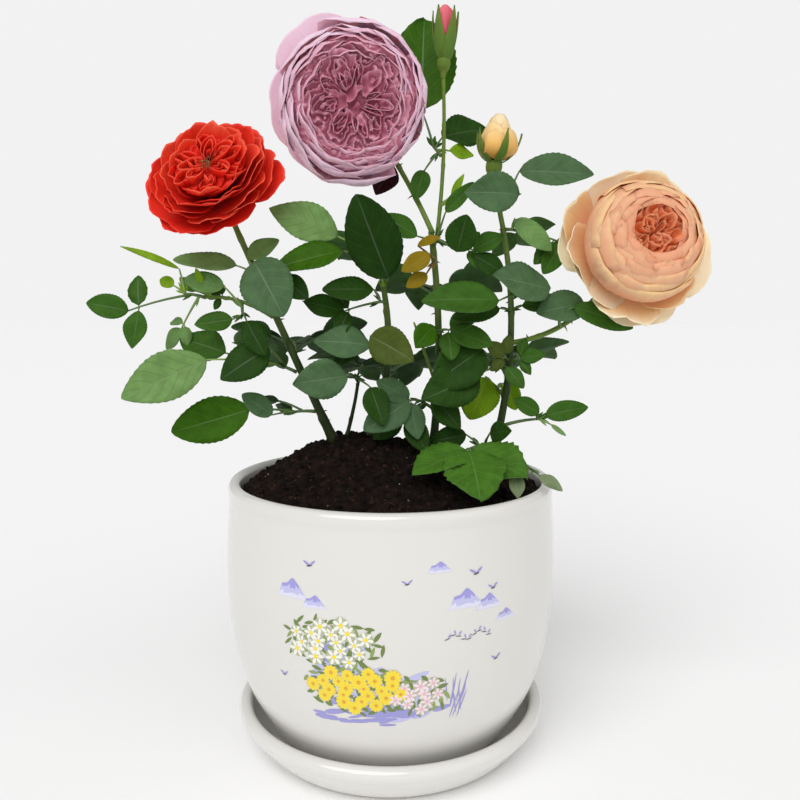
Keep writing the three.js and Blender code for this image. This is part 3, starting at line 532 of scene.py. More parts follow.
def tube_mesh(line, radius_of, sides, steps):
    """A closed tube along a line of points; radius_of gives its radius from turn and share."""
    bm = bmesh.new()
    bmesh.ops.create_grid(bm, x_segments=sides, y_segments=steps, size=1)
    shares = np.linspace(0, 1, steps + 1)
    centres = line(shares)
    ways = unit(np.gradient(centres, axis=0))
    sideways = unit(np.cross(ways, arr(0.13, -1, 0.07)))
    fronts = np.cross(sideways, ways)
    for vert in bm.verts:
        turn = math.pi * vert.co.x
        i = round((vert.co.y + 1) / 2 * steps)
        radius = radius_of(turn, shares[i])
        spot = centres[i] + radius * (math.cos(turn) * sideways[i] + math.sin(turn) * fronts[i])
        vert.co = Vector(spot) * MM
    bmesh.ops.remove_doubles(bm, verts=bm.verts, dist=1e-7)
    bmesh.ops.holes_fill(bm, edges=bm.edges, sides=sides)
    bmesh.ops.recalc_face_normals(bm, faces=bm.faces)
    return bm


# Bark that is brown at the soil and green higher up, with streaks along the cane.
BARK_YEARS = [(0.2, (0.022, 0.028, 0.009)), (0.6, (0.024, 0.05, 0.008)), (1, (0.11, 0.17, 0.03))]
OLD_BELOW = 0.15  # metres above the table
GREEN_ABOVE = 0.29
bark = finish_of("cane_bark", (0.1, 0.17, 0.04), 0.5, Specular_IOR_Level=0.2)
young_bark = finish_of("young_bark", (0.12, 0.2, 0.025), 0.45, Specular_IOR_Level=0.3)
tree = bark.node_tree
place = shade_step(tree, "TexCoord")["Object"]
drawn = shade_step(tree, "Mapping", {"Vector": place, "Scale": (3, 3, 0.4)})["Vector"]
mottle = shade_step(tree, "TexNoise", {"Vector": drawn, "Scale": 90, "Detail": 3})["Fac"]
height = shade_step(tree, "SeparateXYZ", {"Vector": place})["Z"]
age = shade_step(tree, "MapRange", {"Value": height, "From Min": OLD_BELOW, "From Max": GREEN_ABOVE})
level = shade_step(tree, "Math", {0: mottle, 1: 0.5, 2: age["Result"]}, operation="MULTIPLY_ADD")["Value"]
grain = shade_step(tree, "Bump", {"Height": mottle, "Strength": 0.35, "Distance": 0.0004})["Normal"]
feed(bark, Base_Color=shade_ramp(tree, level, BARK_YEARS), Normal=grain)

JOINT_RUN = 21  # length between one joint of a cane and the next
for seed, (name, limb) in enumerate(limbs.items()):
    start = 0.3 + 0.13 * seed

    def bark_radius(turn, share, limb=limb, start=start, seed=seed):
        joints = share * limb.length / JOINT_RUN + start
        nearest = math.floor(joints + 0.5)
        one_sided = 1 + 0.8 * math.cos(turn - 2.4 * nearest)
        swell = 0.2 * math.exp(-(((joints - nearest) / 0.06) ** 2)) * one_sided
        spot = Vector((2 * math.cos(turn), 2 * math.sin(turn), share * limb.length / 5 + 9 * seed))
        relief = 0.05 * noise.noise(spot)
        flare = limb.flare * math.exp(-share * 14)
        return limb.radius(share) * (1 + swell + relief) + flare

    def bark_line(shares, limb=limb):
        sunk = 0 if limb.flare else 2.6 * np.exp(-shares * limb.length / 2)
        return limb.at(shares) - np.reshape(sunk, (-1, 1)) * limb.along(0)

    tube = tube_mesh(bark_line, bark_radius, TUBE_SIDES, steps=max(24, int(limb.length / 2.2)))
    piece_of(f"{name}_bark", tube, [bark if limb.flare else young_bark], [name])


def stick_master(sides, steps):
    """A closed unit rod as arrays: turn and share of each corner, and the faces."""
    bm = bmesh.new()
    bmesh.ops.create_cone(bm, cap_ends=True, segments=sides, radius1=1, radius2=1, depth=2)
    cuts = [edge for edge in bm.edges if abs(edge.verts[0].co.z - edge.verts[1].co.z) > 1]
    bmesh.ops.subdivide_edges(bm, edges=cuts, cuts=steps - 1, use_grid_fill=True)
    bmesh.ops.triangulate(bm, faces=bm.faces)
    bmesh.ops.recalc_face_normals(bm, faces=bm.faces)
    corners, faces = arrays_of(bm)
    return np.arctan2(corners[:, 1], corners[:, 0]), (corners[:, 2] + 1) / 2, faces


def sticks_mesh(name, sticks, master):
    """Thin bent rods in one mesh, each (foot, middle, tip, foot radius, tip radius, material)."""
    turns, shares, faces = master
    foot, middle, tip = (np.array([stick[i] for stick in sticks])[:, None] for i in range(3))
    foot_r, tip_r = (np.array([stick[i] for stick in sticks])[:, None] for i in (3, 4))
    t = shares[None, :, None]
    centre = (1 - t) ** 2 * foot + 2 * t * (1 - t) * middle + t**2 * tip
    way = unit((1 - t) * (middle - foot) + t * (tip - middle) + 1e-9)
    sideways = unit(np.cross(way, arr(0.31, -0.9, 0.17)))
    front = np.cross(sideways, way)
    radius = (foot_r + (tip_r - foot_r) * shares)[..., None]
    wheel = np.cos(turns)[None, :, None] * sideways + np.sin(turns)[None, :, None] * front
    tones = np.array([stick[5] for stick in sticks])[:, None]
    return mesh_from(name, centre + radius * wheel, faces, tones)


# Prickles: short hooked spines that point a little downwards.
spiny = random.Random(3)
spines = []
for name in ("cane_left", "cane_mid_left", "cane_mid", "cane_right", "stalk_mauve", "stalk_apricot"):
    limb = limbs[name]
    for _ in range(int(limb.length / 15)):
        share = spiny.uniform(0.08, 0.93)
        turn = spiny.uniform(0, 2 * math.pi)
        out = unit(np.cross(limb.along(share), arr(math.cos(turn), math.sin(turn), 0.2)))
        root = limb.at(share) + out * limb.radius(share) * 0.8
        reach = spiny.uniform(1.8, 3)
        tip = root + out * reach - arr(0, 0, 0.3 * reach)
        spines.append((root, root + out * reach * 0.6, tip, 0.55, 0.06, 0))
prickle = finish_of("prickle", (0.16, 0.07, 0.03), 0.4)
placed("prickles", sticks_mesh("prickles", spines, stick_master(5, 2)), [prickle])

# Root fibres and bits of stalk on the soil.
fibres = []
for x, y, z, size in scattered(sower, 36, 6, spread=72, sunk=0.0):
    turn = sower.uniform(0, 2 * math.pi)
    half = arr(math.cos(turn), math.sin(turn), 0) * size / 2
    foot, tip = arr(x, y, 0) - half, arr(x, y, 0) + half
    foot[2] = crumbly(foot[0], foot[1]) + 0.1
    tip[2] = crumbly(tip[0], tip[1]) + 0.3
    middle = arr(x + sower.gauss(0, 1.5), y + sower.gauss(0, 1.5), z + sower.uniform(0.5, 2.5))
    fibres.append((foot, middle, tip, 0.16, 0.1, sower.choice([0, 0, 1])))
root_red = finish_of("root_red", (0.05, 0.018, 0.012), 0.8)
root_pale = finish_of("root_pale", (0.08, 0.05, 0.03), 0.8)
placed("soil_fibres", sticks_mesh("soil_fibres", fibres, stick_master(4, 4)), [root_red, root_pale])

# ---- leaves ----
# Each mass of foliage has one stem that grows from a cane, with compound leaves on it: a stalk with
# an end leaflet and pairs of side leaflets, toothed, folded a little along the midrib.
TWIG_R = 0.65
LEAFLET_WIDTH = 0.62
VEIN_PAIRS = 6.5
# The dark and mid tones are darker than these leaves' own greens, partly as painted shade for the leaves that
# sit low and inside the bush.
TONES = {
    "deep": ((0.009, 0.034, 0.0015), (0.018, 0.055, 0.004)),
    "dark": ((0.016, 0.05, 0.004), (0.03, 0.08, 0.01)),
    "bright": ((0.032, 0.103, 0.0015), (0.06, 0.155, 0.008)),
    "mid": ((0.037, 0.102, 0.01), (0.06, 0.15, 0.025)),
    "grey": ((0.066, 0.128, 0.054), (0.1, 0.18, 0.08)),
    "light": ((0.145, 0.262, 0.08), (0.08, 0.165, 0.035)),
    "fresh": ((0.055, 0.15, 0.014), (0.1, 0.22, 0.035)),
    "lime": ((0.17, 0.31, 0.006), (0.26, 0.4, 0.03)),
    "bronze": ((0.22, 0.15, 0.006), (0.26, 0.19, 0.015)),
    "olive": ((0.06, 0.085, 0.012), (0.09, 0.12, 0.025)),
    "ash": ((0.17, 0.22, 0.11), (0.24, 0.29, 0.17)),
    "maroon": ((0.02, 0.003, 0.006), (0.03, 0.006, 0.009)),
}


def seeded(seed):
    """A repeatable run of numbers from 0 to 1."""
    state = seed & 0xFFFFFFFF

    def following():
        nonlocal state
        state = (state + 0x6D2B79F5) & 0xFFFFFFFF
        t = ((state ^ (state >> 15)) * (state | 1)) & 0xFFFFFFFF
        t = (t ^ (t + ((t ^ (t >> 7)) * (t | 61)))) & 0xFFFFFFFF
        return (t ^ (t >> 14)) / 4294967296

    return following


def upper_side(way, face):
    """The way a leaflet's upper side looks: up, or turned to the front by a share."""
    lit = arr(0, -face, 1 - abs(face))
    return unit(lit - way * (lit @ way))


def rotated(vector, axis, turn):
    """A vector turned round an axis."""
    return (
        vector * math.cos(turn)
        + np.cross(axis, vector) * math.sin(turn)
        + axis * (axis @ vector) * (1 - math.cos(turn))
    )


def leaf(on, stalk, blade, tone, pairs=0, face=0.8, spread=62, side=0.75, width=LEAFLET_WIDTH):
    """A compound leaf: how far up its stem it grows, the heading, rise and length of its stalk and
    of its end leaflet, its tone, its pairs of side leaflets, and how much its face turns to the front."""
    return on, stalk, blade, tone, pairs, face, spread, side, width


def alternate(heading, rise, count, length, face):
    """Leaves that stand to the left and right of a stem in turn."""
    leaves = []
    for i in range(count):
        turn = heading + (1 if i % 2 else -1) * (50 - 10 * i)
        shrink = 1 - 0.09 * i
        stalk = (turn, rise + 14 - 6 * i, length * 0.8 * shrink)
        tone = ("dark", "mid", "grey")[i % 3]
        blade = (turn, rise - 16, length * shrink)
        leaves.append(leaf((i + 1) / count, stalk, blade, tone, pairs=1, face=face, side=0.85))
    return leaves


# Each mass of foliage: the limb it grows on and how far up, its stem's heading, rise and length,
# and its leaves.
MASSES = {
    "leaves_low_left": ("cane_left", 0.14, (-170, 0, 10), [
        leaf(1, (-159, 5, 25), (-171, -16, 42), "bright", width=0.56),
        leaf(0.9, (-153, -4, 14), (-172, 36, 19), "grey", face=0.6),
        leaf(0.6, (136, 10, 24), (160, -14, 24), "dark", pairs=1, face=-0.3),
    ]),
    "leaves_left": ("cane_left", 0.3, (-161, 22, 11), [
        leaf(1, (-159, 5, 36), (-162, -24, 46), "light", width=0.55),
        leaf(0.95, (-173, 13, 27), (160, 19, 30), "mid", face=0.7),
        leaf(0.5, (-125, 41, 16), (-157, -29, 29), "dark", width=0.68),
        leaf(0.5, (120, 20, 27), (148, -13, 27), "mid", pairs=1, face=-0.4),
    ]),
    "leaves_far_left": ("side_left", 1, (-168, 11, 10), [
        leaf(0.6, (-163, -15, 33), (-168, 12, 21), "mid", pairs=1, spread=85, side=0.95),
        leaf(1, (-138, 77, 13), (-176, 26, 32), "lime", face=0.6, width=0.13),
        leaf(1, (163, 32, 8), (156, 22, 11), "lime", face=0.7),
        leaf(0.25, (152, -52, 22), (162, -41, 16), "light", pairs=1, face=0.6, side=0.8),
    ]),
    "leaves_left_side": ("side_left", 0.45, (-75, -49, 8), [
        leaf(1, (-148, -20, 6), (-164, -9, 19), "mid", face=0.7),
        leaf(0.7, (-62, -33, 9), (-38, -55, 20), "dark"),
        leaf(0.3, (-165, 50, 14), (176, 8, 22), "light", face=0.7, width=0.55),
    ]),
    "leaves_left_top": ("cane_left", 0.7, (-89, 12, 10), [
        leaf(1, (-80, 30, 9), (-32, -54, 31), "grey", face=0.9, width=0.85),
        leaf(0.3, (-169, 24, 11), (-178, 5, 33), "light", face=0.5, width=0.42),
        leaf(0.7, (135, 47, 10), (8, 36, 19), "light", face=0.6),
        leaf(0.5, (-19, -11, 15), (-16, -32, 17), "dark", width=0.72),
    ]),
    "leaves_centre_top": ("cane_mid_left", 1, (-157, 37, 9), [
        leaf(0.8, (175, 31, 18), (-171, 27, 37), "light", face=0.75, width=0.56),
        leaf(0.3, (-162, 14, 17), (-163, -11, 35), "bright", face=0.55, width=0.5),
        leaf(0.1, (-50, -42, 12), (-142, 63, 43), "deep", face=1, width=0.64),
        leaf(0.6, (107, 17, 28), (115, 0, 29), "mid", pairs=1, face=-0.5),
    ]),
    "leaves_centre_left": ("cane_mid_left", 0.8, (-118, 0, 4), [
        leaf(0.8, (-133, 51, 8), (-169, 0, 26), "dark", face=0.55),
        leaf(1, (168, -14, 20), (-172, 16, 22), "dark", pairs=1, face=0.65),
    ]),
    "leaves_centre": ("cane_mid_left", 0.56, (-112, 9, 5), [
        leaf(0.8, (-137, -6, 9), (-168, 10, 29), "grey", face=0.65),
        leaf(1, (-117, 17, 14), (-30, -22, 26), "olive", face=0.9, width=0.75),
        leaf(0.5, (160, -5, 20), (175, -12, 24), "dark", pairs=1, face=0.3),
    ]),
    "leaves_centre_low": ("shoot_left", 1, (-110, 30, 7), [
        leaf(0.9, (-100, 5, 14), (-160, -6, 28), "grey", face=0.9, width=0.74),
        leaf(0.6, (-50, -18, 14), (-60, -50, 22), "dark"),
        leaf(0.5, (150, 20, 14), (160, -8, 24), "dark", face=0.5),
        leaf(0.3, (80, 30, 16), (70, 5, 26), "dark", pairs=1, face=-0.3),
    ]),
    "leaves_bronze": ("cane_mid", 0.84, (-93, 38, 4), [
        leaf(0.9, (-119, 20, 7), (-147, -30, 18), "bronze", width=0.55),
        leaf(0.8, (-157, 35, 12), (-28, 22, 13), "bronze", face=0.6, width=0.45),
        leaf(0.5, (-127, -40, 10), (-152, -33, 13), "bronze"),
    ]),
    "leaves_mid_front": ("cane_mid", 0.56, (-99, 15, 6), [
        leaf(1, (-116, 24, 5), (-138, -37, 16), "bright", face=0.9, width=0.8),
        leaf(0.6, (-44, 4, 9), (-16, -20, 23), "mid", pairs=1, face=0.6, side=0.8),
    ]),
    "leaves_mid_low": ("cane_mid", 0.22, (-150, 30, 9), [
        leaf(1, (-127, 6, 10), (-160, -34, 28), "grey", pairs=1, side=0.8),
        leaf(0.8, (-61, 19, 11), (-22, -43, 22), "dark", face=0.85),
        leaf(0.7, (-143, -38, 13), (-42, -50, 20), "dark"),
        leaf(0.4, (175, -25, 15), (-170, -38, 20), "dark"),
    ]),
    "leaves_fork": ("cane_mid", 0.93, (-71, 36, 4), [
        leaf(0.2, (-171, 18, 10), (-167, 31, 21), "mid", face=0.6),
        leaf(1, (-45, 66, 14), (-20, 43, 20), "mid", face=0.7, width=0.4),
        leaf(0.9, (-23, -32, 13), (-56, 68, 19), "dark", width=0.85),
        leaf(0.5, (-5, -14, 20), (-16, 29, 17), "mid", pairs=1, face=0.7),
    ]),
    "leaves_top": ("stalk_bud", 0.5, (147, 48, 6), [
        leaf(1, (122, 62, 24), (90, 87, 51), "bright", face=1, width=0.7),
        leaf(0.8, (46, 48, 9), (23, 19, 28), "dark", face=0.7, width=0.7),
        leaf(0.6, (7, -2, 7), (23, -4, 15), "lime", face=0.7),
        leaf(0.3, (-155, -51, 13), (-124, -63, 16), "mid"),
    ]),
    "leaves_right_top": ("cane_right", 0.93, (-52, 10, 7), [
        leaf(0.8, (0, 66, 14), (-9, -3, 37), "grey", face=0.7, width=0.5),
        leaf(1, (-56, 0, 7), (-165, 4, 27), "grey", face=0.9, width=0.76),
    ]),
    "leaves_right_upper": ("cane_right", 0.84, (-20, -8, 4), [
        leaf(0.6, (-66, 50, 6), (-13, -41, 24), "light", width=0.5),
        leaf(1, (2, -14, 25), (-151, -57, 19), "mid", pairs=1, side=0.9),
        leaf(0.4, (72, 3, 28), (54, -8, 27), "mid", pairs=1, face=-0.5),
    ]),
    "leaves_right": ("cane_right", 0.62, (-60, 6, 7), [
        leaf(0.9, (-6, 8, 15), (-159, 11, 32), "grey", face=0.6, width=0.75),
        leaf(0.8, (-141, -14, 16), (-162, 4, 39), "mid", face=0.6, width=0.5),
        leaf(0.3, (-149, 53, 13), (-173, 32, 19), "dark", face=0.7),
    ]),
    "leaves_right_out": ("stalk_apricot", 0.35, (-106, 23, 14), [
        leaf(1, (-26, 27, 9), (-16, -17, 31), "mid", face=0.7, width=0.42),
        leaf(0.5, (-22, 32, 15), (-160, -7, 26), "grey", face=0.7, width=0.7),
    ]),
    "leaves_right_low": ("cane_right", 0.37, (-161, 14, 5), [
        leaf(1, (-135, 38, 15), (-153, -25, 33), "dark", face=0.75, width=0.75),
        leaf(0.6, (-135, -8, 18), (-153, -23, 33), "dark", width=0.7),
        leaf(0.2, (-80, 7, 6), (-37, -45, 14), "mid"),
    ]),
    "leaves_lime": ("cane_right", 0.27, (115, 29, 12), [
        leaf(1, (-147, 33, 6), (-131, -63, 24), "lime", face=0.9, width=0.9),
        leaf(0.6, (35, 19, 7), (-34, -63, 16), "lime", face=0.9, width=0.7),
    ]),
    "leaves_right_twig": ("cane_right", 0.17, (-7, 11, 19), [
        leaf(1, (-17, 30, 4), (-8, 15, 23), "mid", face=0.7, width=0.5),
        leaf(0.9, (-56, 66, 4), (-163, 30, 16), "mid", face=0.7),
        leaf(1, (-18, -23, 7), (-14, -36, 10), "light", face=0.6, width=0.3),
    ]),
    "leaves_front": ("cane_right", 0.1, (-125, 4, 25), [
        leaf(1, (-100, 4, 14), (-83, -20, 38), "fresh", pairs=1, face=0.35, width=0.78, side=0.92, spread=58),
        leaf(0.6, (160, 36, 9), (168, -12, 20), "dark"),
        leaf(0.4, (-70, 48, 10), (-60, 10, 15), "dark", width=0.75),
    ]),
    "leaves_rim": ("cane_right", 0.075, (-70, -3, 40), [
        leaf(1, (-75, -8, 9), (-35, -24, 13), "ash", face=0.5, width=0.5),
        leaf(0.9, (-125, -6, 14), (-95, -40, 13), "ash", face=0.5, width=0.6),
    ]),
    "leaves_back_left": ("cane_left", 0.36, (100, 16, 30), alternate(100, 10, 4, 31, -0.4)),
    "leaves_back": ("cane_mid_left", 0.36, (92, 10, 34), alternate(92, 2, 4, 32, -0.4)),
    "leaves_back_right": ("cane_right", 0.34, (98, 18, 32), alternate(98, 8, 4, 30, -0.4)),
    "leaves_back_top": ("cane_mid", 0.66, (92, 24, 30), alternate(92, 14, 4, 30, -0.5)),
}
leaflets = []  # (root, way, upper side, length, width, tone, is an end leaflet)
stems = []  # rods as (foot, middle, tip, foot radius, tip radius, material)


def grow_leaf(start, row, draw):
    """Adds a leaf's stalk, its end leaflet, the two small wings at its foot and its pairs."""
    _, stalk, blade, tone, pairs, face, spread, side, width = row
    stalk_way, blade_way = towards(*stalk[:2]), towards(*blade[:2])
    end = start + stalk_way * stalk[2]
    kind = {"lime": 1, "light": 1, "bronze": 2, "maroon": 2}.get(tone, 0)
    sag = (start + end) / 2 + arr(0, 0, 0.06 * stalk[2])
    stems.append((start, sag, end, 0.75, 0.42, kind))
    leaflets.append((end, blade_way, upper_side(blade_way, face), blade[2], width, tone, True))
    for hand in (-1, 1):
        wing = unit(np.cross(stalk_way, arr(0, -0.6, 0.8))) * hand
        root = start + stalk_way * 0.3
        way = unit(stalk_way + 0.35 * wing)
        leaflets.append((root, way, upper_side(way, face), 4.5 + 0.06 * blade[2], 0.26, tone, False))
    middle_way = unit(stalk_way + blade_way)
    for pair in range(pairs):
        root = start + (end - start) * (0.84 - 0.4 * pair)
        upper = upper_side(middle_way, face)
        size = blade[2] * side * (1 - 0.15 * pair)
        for hand in (-1, 1):
            turn = math.radians(spread + 16 * (draw() - 0.5)) * hand
            length = size * (0.9 + 0.2 * draw())
            way = unit(rotated(middle_way, upper, turn) - arr(0, 0, 0.12))
            tilted = upper_side(way, face + 0.24 * (draw() - 0.5))
            foot = root + way * 1.4
            stems.append((root, (root + foot) / 2, foot, 0.4, 0.32, kind))
            leaflets.append((foot, way, tilted, length - 1.4, width, tone, length > 19))


for seed, (name, (limb_name, share, stem, leaves)) in enumerate(MASSES.items(), 1):
    draw = seeded(seed)
    way = towards(*stem[:2])
    foot = leaving(limbs[limb_name], share, way, TWIG_R * 1.5)
    rod = Limb(foot, foot + way * stem[2], arr(0, 0, 0.04 * stem[2]), TWIG_R * 1.5, TWIG_R)
    sunk = foot - way * 0.9
    stems.append((sunk, rod.middle, rod.tip, TWIG_R * 1.6, TWIG_R, 0))
    for row in leaves:
        grow_leaf(rod.at(min(row[0], 0.97)), row, draw)

# Young shoots too fine to be masses of their own: where each starts on its limb, and its leaves.
SHOOTS = [
    ("stalk_mauve", 0.56, [leaf(0, (-110, -30, 5), (-150, -58, 18), "maroon", face=0.9, width=0.8)]),
    ("cane_mid_left", 0.88, [
        leaf(0, (-80, 55, 13), (-110, 72, 17), "lime", width=0.16),
        leaf(0, (-60, 42, 12), (-140, 60, 15), "olive", width=0.2),
        leaf(0, (-95, 30, 9), (-160, 35, 11), "lime", width=0.24),
    ]),
    ("side_left", 0.9, [
        leaf(0, (175, 20, 9), (170, 35, 12), "light", width=0.5),
        leaf(0, (-150, 50, 7), (-120, 60, 10), "lime", width=0.4),
    ]),
    ("side_left", 0.6, [leaf(0, (150, 10, 8), (165, 18, 12), "mid", pairs=1)]),
    ("stalk_bud", 0.2, [leaf(0, (-20, 40, 8), (-10, 60, 13), "lime", width=0.3)]),
    ("cane_right", 0.4, [
        leaf(0, (-40, 15, 7), (-20, 10, 13), "mid", pairs=1, side=0.9),
        leaf(0, (-120, 20, 8), (-150, 38, 13), "olive", pairs=1, side=0.9),
    ]),
    ("cane_right", 0.57, [
        leaf(0, (-140, 8, 9), (-166, -5, 25), "dark", face=0.7, width=0.48),
        leaf(0, (-35, 22, 7), (-14, 2, 28), "mid", face=0.6, width=0.46),
    ]),
]
draw = seeded(99)
for limb_name, share, shoot_leaves in SHOOTS:
    for row in shoot_leaves:
        grow_leaf(limbs[limb_name].at(share), row, draw)

stem_green = finish_of("stem_green", (0.085, 0.16, 0.04), 0.5)
stem_pale = finish_of("stem_pale", (0.2, 0.32, 0.08), 0.5)
stem_red = finish_of("stem_red", (0.2, 0.1, 0.03), 0.5)
stem_rods = sticks_mesh("leaf_stems", stems, stick_master(7, 5))
masses = list(MASSES)
placed("leaf_stems", stem_rods, [stem_green, stem_pale, stem_red], masses)


def sheet_master(columns, rows, across_at, teeth=0.0):
    """A closed thin sheet as arrays: place across, place along and side of each corner, the faces,
    and for each face whether it is on the upper side and how far across it lies."""
    bm = bmesh.new()
    bmesh.ops.create_grid(bm, x_segments=columns, y_segments=rows, size=1)
    bmesh.ops.recalc_face_normals(bm, faces=bm.faces)
    bmesh.ops.solidify(bm, geom=bm.faces[:], thickness=0.5)
    bmesh.ops.recalc_face_normals(bm, faces=bm.faces)
    corners, faces = arrays_of(bm)
    across, along, over = corners.T
    over = np.where(over > over.mean(), 1.0, -1.0)
    column = np.round((across + 1) / 2 * columns).astype(int)
    row = np.round((along + 1) / 2 * rows).astype(int)
    across = np.asarray(across_at)[column]
    is_edge = (column == 0) | (column == columns)
    tooth = np.where(is_edge, np.where(row % 2 == 1, teeth, -teeth * 0.6), 0)
    across = across * (1 + tooth)
    along = (row + 0.3 * (is_edge & (row % 2 == 1)) * (row < rows) * (teeth > 0)) / rows
    is_upper = (over[faces] > 0).all(axis=1)
    return across, along, over, faces, is_upper, np.abs(across[faces].mean(axis=1))


def on_leaflets(kit, across, along):
    """Where places across and along a blade fall on every leaflet of a kit."""
    root, way, upper, length, half, droop, bend, twist, fold, wave, phase, quilt, point = kit
    shape = 0.02 + 0.98 * np.sin(math.pi * np.clip(along, 0, 1) ** 0.86) ** point
    side = np.cross(way, upper)
    turn = (twist * (along - 0.3))[..., None]
    sideways = side * np.cos(turn) + upper * np.sin(turn)
    upwards = upper * np.cos(turn) - side * np.sin(turn)
    run = length[..., None]
    t = along[..., None]
    x = half * across * shape
    veins = np.abs(np.sin(math.pi * VEIN_PAIRS * (along - 0.34 * np.abs(across) * shape)))
    lift = fold * np.abs(x) + wave * half * np.sin(phase + 9 * along + 1.7 * np.sign(across)) * across**2
    lift = lift - quilt * length * veins * np.abs(across) * (1.05 - np.abs(across)) * 4 * shape
    centre = root + way * run * t
    centre = centre - upper * droop[..., None] * run * t**2 + side * bend[..., None] * run * t**2
    return centre + sideways * x[..., None] + upwards * lift[..., None]


def kit_of(rows, rng):
    """The leaflets' places as arrays, with each one's own droop, bend, twist and waves."""
    count = len(rows)
    root, way, upper = (np.array([row[i] for row in rows])[:, None] for i in range(3))
    length = np.array([row[3] for row in rows])[:, None]
    half = 0.5 * length * np.array([row[4] for row in rows])[:, None]

    def spread(middle, by):
        return middle + by * rng.uniform(-1, 1, (count, 1))

    droop, bend, twist = spread(0.12, 0.07), spread(0, 0.07), spread(0, 0.35)
    fold, wave, phase = spread(0.2, 0.12), spread(0.07, 0.05), spread(0, math.pi)
    quilt, point = spread(0.013, 0.003), spread(0.74, 0.12)
    return root, way, upper, length, half, droop, bend, twist, fold, wave, phase, quilt, point


def lifted(surface, across, along, height):
    """Points of a surface raised off it by a height, which may differ from point to point."""
    step = 0.01
    one = surface(across + step, along) - surface(across - step, along)
    two = surface(across, along + step) - surface(across, along - step)
    out = unit(np.cross(one, two) + 1e-12)
    return surface(across, along) + out * np.asarray(height)[..., None]


def sheets_mesh(name, corners, master, tones, uv_name):
    """A mesh of thin sheets with a UV map that runs across and along each of them."""
    across, along, _, faces, *_ = master
    mesh = mesh_from(name, corners, faces, tones)
    uv = np.stack([(across + 1) / 2, along], axis=-1)[faces.ravel()]
    mesh.uv_layers.new(name=uv_name).data.foreach_set("uv", np.tile(uv.ravel(), len(corners)))
    return mesh


def blades_mesh(name, rows, master, rng):
    across, along, over, _, is_upper, off = master
    kit = kit_of(rows, rng)
    rib = 0.4 * (np.abs(across) < 0.06) * (over < 0) * (1 - 0.8 * along)
    thick = np.maximum(0.11, 0.005 * kit[3]) * over - rib
    corners = lifted(lambda a, t: on_leaflets(kit, a, t), across, along, thick)
    return sheets_mesh(name, corners, master, np.where(is_upper, np.where(off < 0.06, 1, 0), 2), "blade")


def pattern_group(name, **kinds):
    """A node group with the outputs it is asked for, and the step that gives its input, Relief."""
    group = bpy.data.node_groups.new(name, "ShaderNodeTree")
    group.interface.new_socket("Relief", in_out="INPUT", socket_type="NodeSocketFloat")
    for socket, kind in kinds.items():
        group.interface.new_socket(socket, in_out="OUTPUT", socket_type=f"NodeSocket{kind}")
    return group, group.nodes.new("NodeGroupInput").outputs["Relief"]


# Side veins that run out from the midrib, as a mask and as relief, and a blotchy shade.
veins, depth = pattern_group("blade_veins", Vein="Float", Shade="Float", Normal="Vector")
parts = shade_step(veins, "SeparateXYZ", {"Vector": shade_step(veins, "UVMap", uv_map="blade")["UV"]})
slant = parts["X"]
for operation, number in (("MULTIPLY_ADD", 2), ("ABSOLUTE", 0), ("MULTIPLY", -1.9)):
    slant = shade_step(veins, "Math", {0: slant, 1: number, 2: -1}, operation=operation)["Value"]
run = shade_step(veins, "Math", {0: parts["Y"], 1: VEIN_PAIRS, 2: slant}, operation="MULTIPLY_ADD")["Value"]
off = shade_step(veins, "Math", {0: run, 1: 0.5}, operation="PINGPONG")["Value"]
line = shade_step(veins, "MapRange", {"Value": off, "From Max": 0.11, "To Min": 1, "To Max": 0})["Result"]
relief = shade_step(veins, "Bump", {"Height": line, "Strength": depth, "Distance": 0.0004}, invert=True)
shown = {"Vein": line, "Shade": speckle(veins, 160, 3), "Normal": relief["Normal"]}
fill(veins, veins.nodes.new("NodeGroupOutput"), shown)


def leaf_finish(name, colour, vein_colour, roughness):
    """A leaf's skin, blotched and veined."""
    material = finish_of(name, colour, roughness, Specular_IOR_Level=0.08, Subsurface_Weight=0.08,
                         Subsurface_Radius=(0.3, 1, 0.1), Subsurface_Scale=0.0015)
    tree = material.node_tree
    pattern = shade_step(tree, "Group", {"Relief": 0.3}, node_tree=veins)
    blotches = [(at, [part * c for c in colour]) for at, part in ((0.3, 0.82), (0.72, 1.16))]
    blotched = shade_ramp(tree, pattern["Shade"], blotches)
    faint = shade_step(tree, "Math", {0: pattern["Vein"], 1: 0.4}, operation="MULTIPLY")["Value"]
    tints = {"Factor": faint, "A": blotched, "B": (*vein_colour, 1)}
    tinted = shade_step(tree, "Mix", tints, data_type="RGBA")["Result"]
    feed(material, Base_Color=tinted, Normal=pattern["Normal"])
    return material


BLADE_COLUMNS = (-1, -0.72, -0.4, -0.03, 0, 0.03, 0.4, 0.72, 1)
broad = sheet_master(8, 26, BLADE_COLUMNS, teeth=0.022)
toothed = sheet_master(8, 18, BLADE_COLUMNS, teeth=0.06)
small = sheet_master(4, 10, (-1, -0.05, 0, 0.05, 1), teeth=0.04)
rng = np.random.default_rng(21)
for tone, (blade_colour, vein_colour) in TONES.items():
    under = [0.6 * c + 0.4 * g for c, g in zip(blade_colour, (0.1, 0.17, 0.08))]
    midrib = [0.35 * v + 0.65 * c for v, c in zip(vein_colour, blade_colour)]
    finishes = [
        leaf_finish(f"leaf_{tone}", blade_colour, vein_colour, 0.48),
        finish_of(f"midrib_{tone}", midrib, 0.5),
        leaf_finish(f"underside_{tone}", under, vein_colour, 0.65),
    ]
    for size, master in (("broad", toothed if tone == "fresh" else broad), ("small", small)):
        rows = [row for row in leaflets if row[5] == tone and row[6] == (size == "broad")]
        if rows:
            mesh = blades_mesh(f"{size}_{tone}", rows, master, rng)
            placed(f"leaves_{size}_{tone}", mesh, finishes, masses)

# ---- flowers ----
# Each flower stands on a green seed cup with five sepals. Its petals grow from the cup's top in
# rings, the innermost folded, and each petal is a thin curved sheet with a rolled, wavy rim.


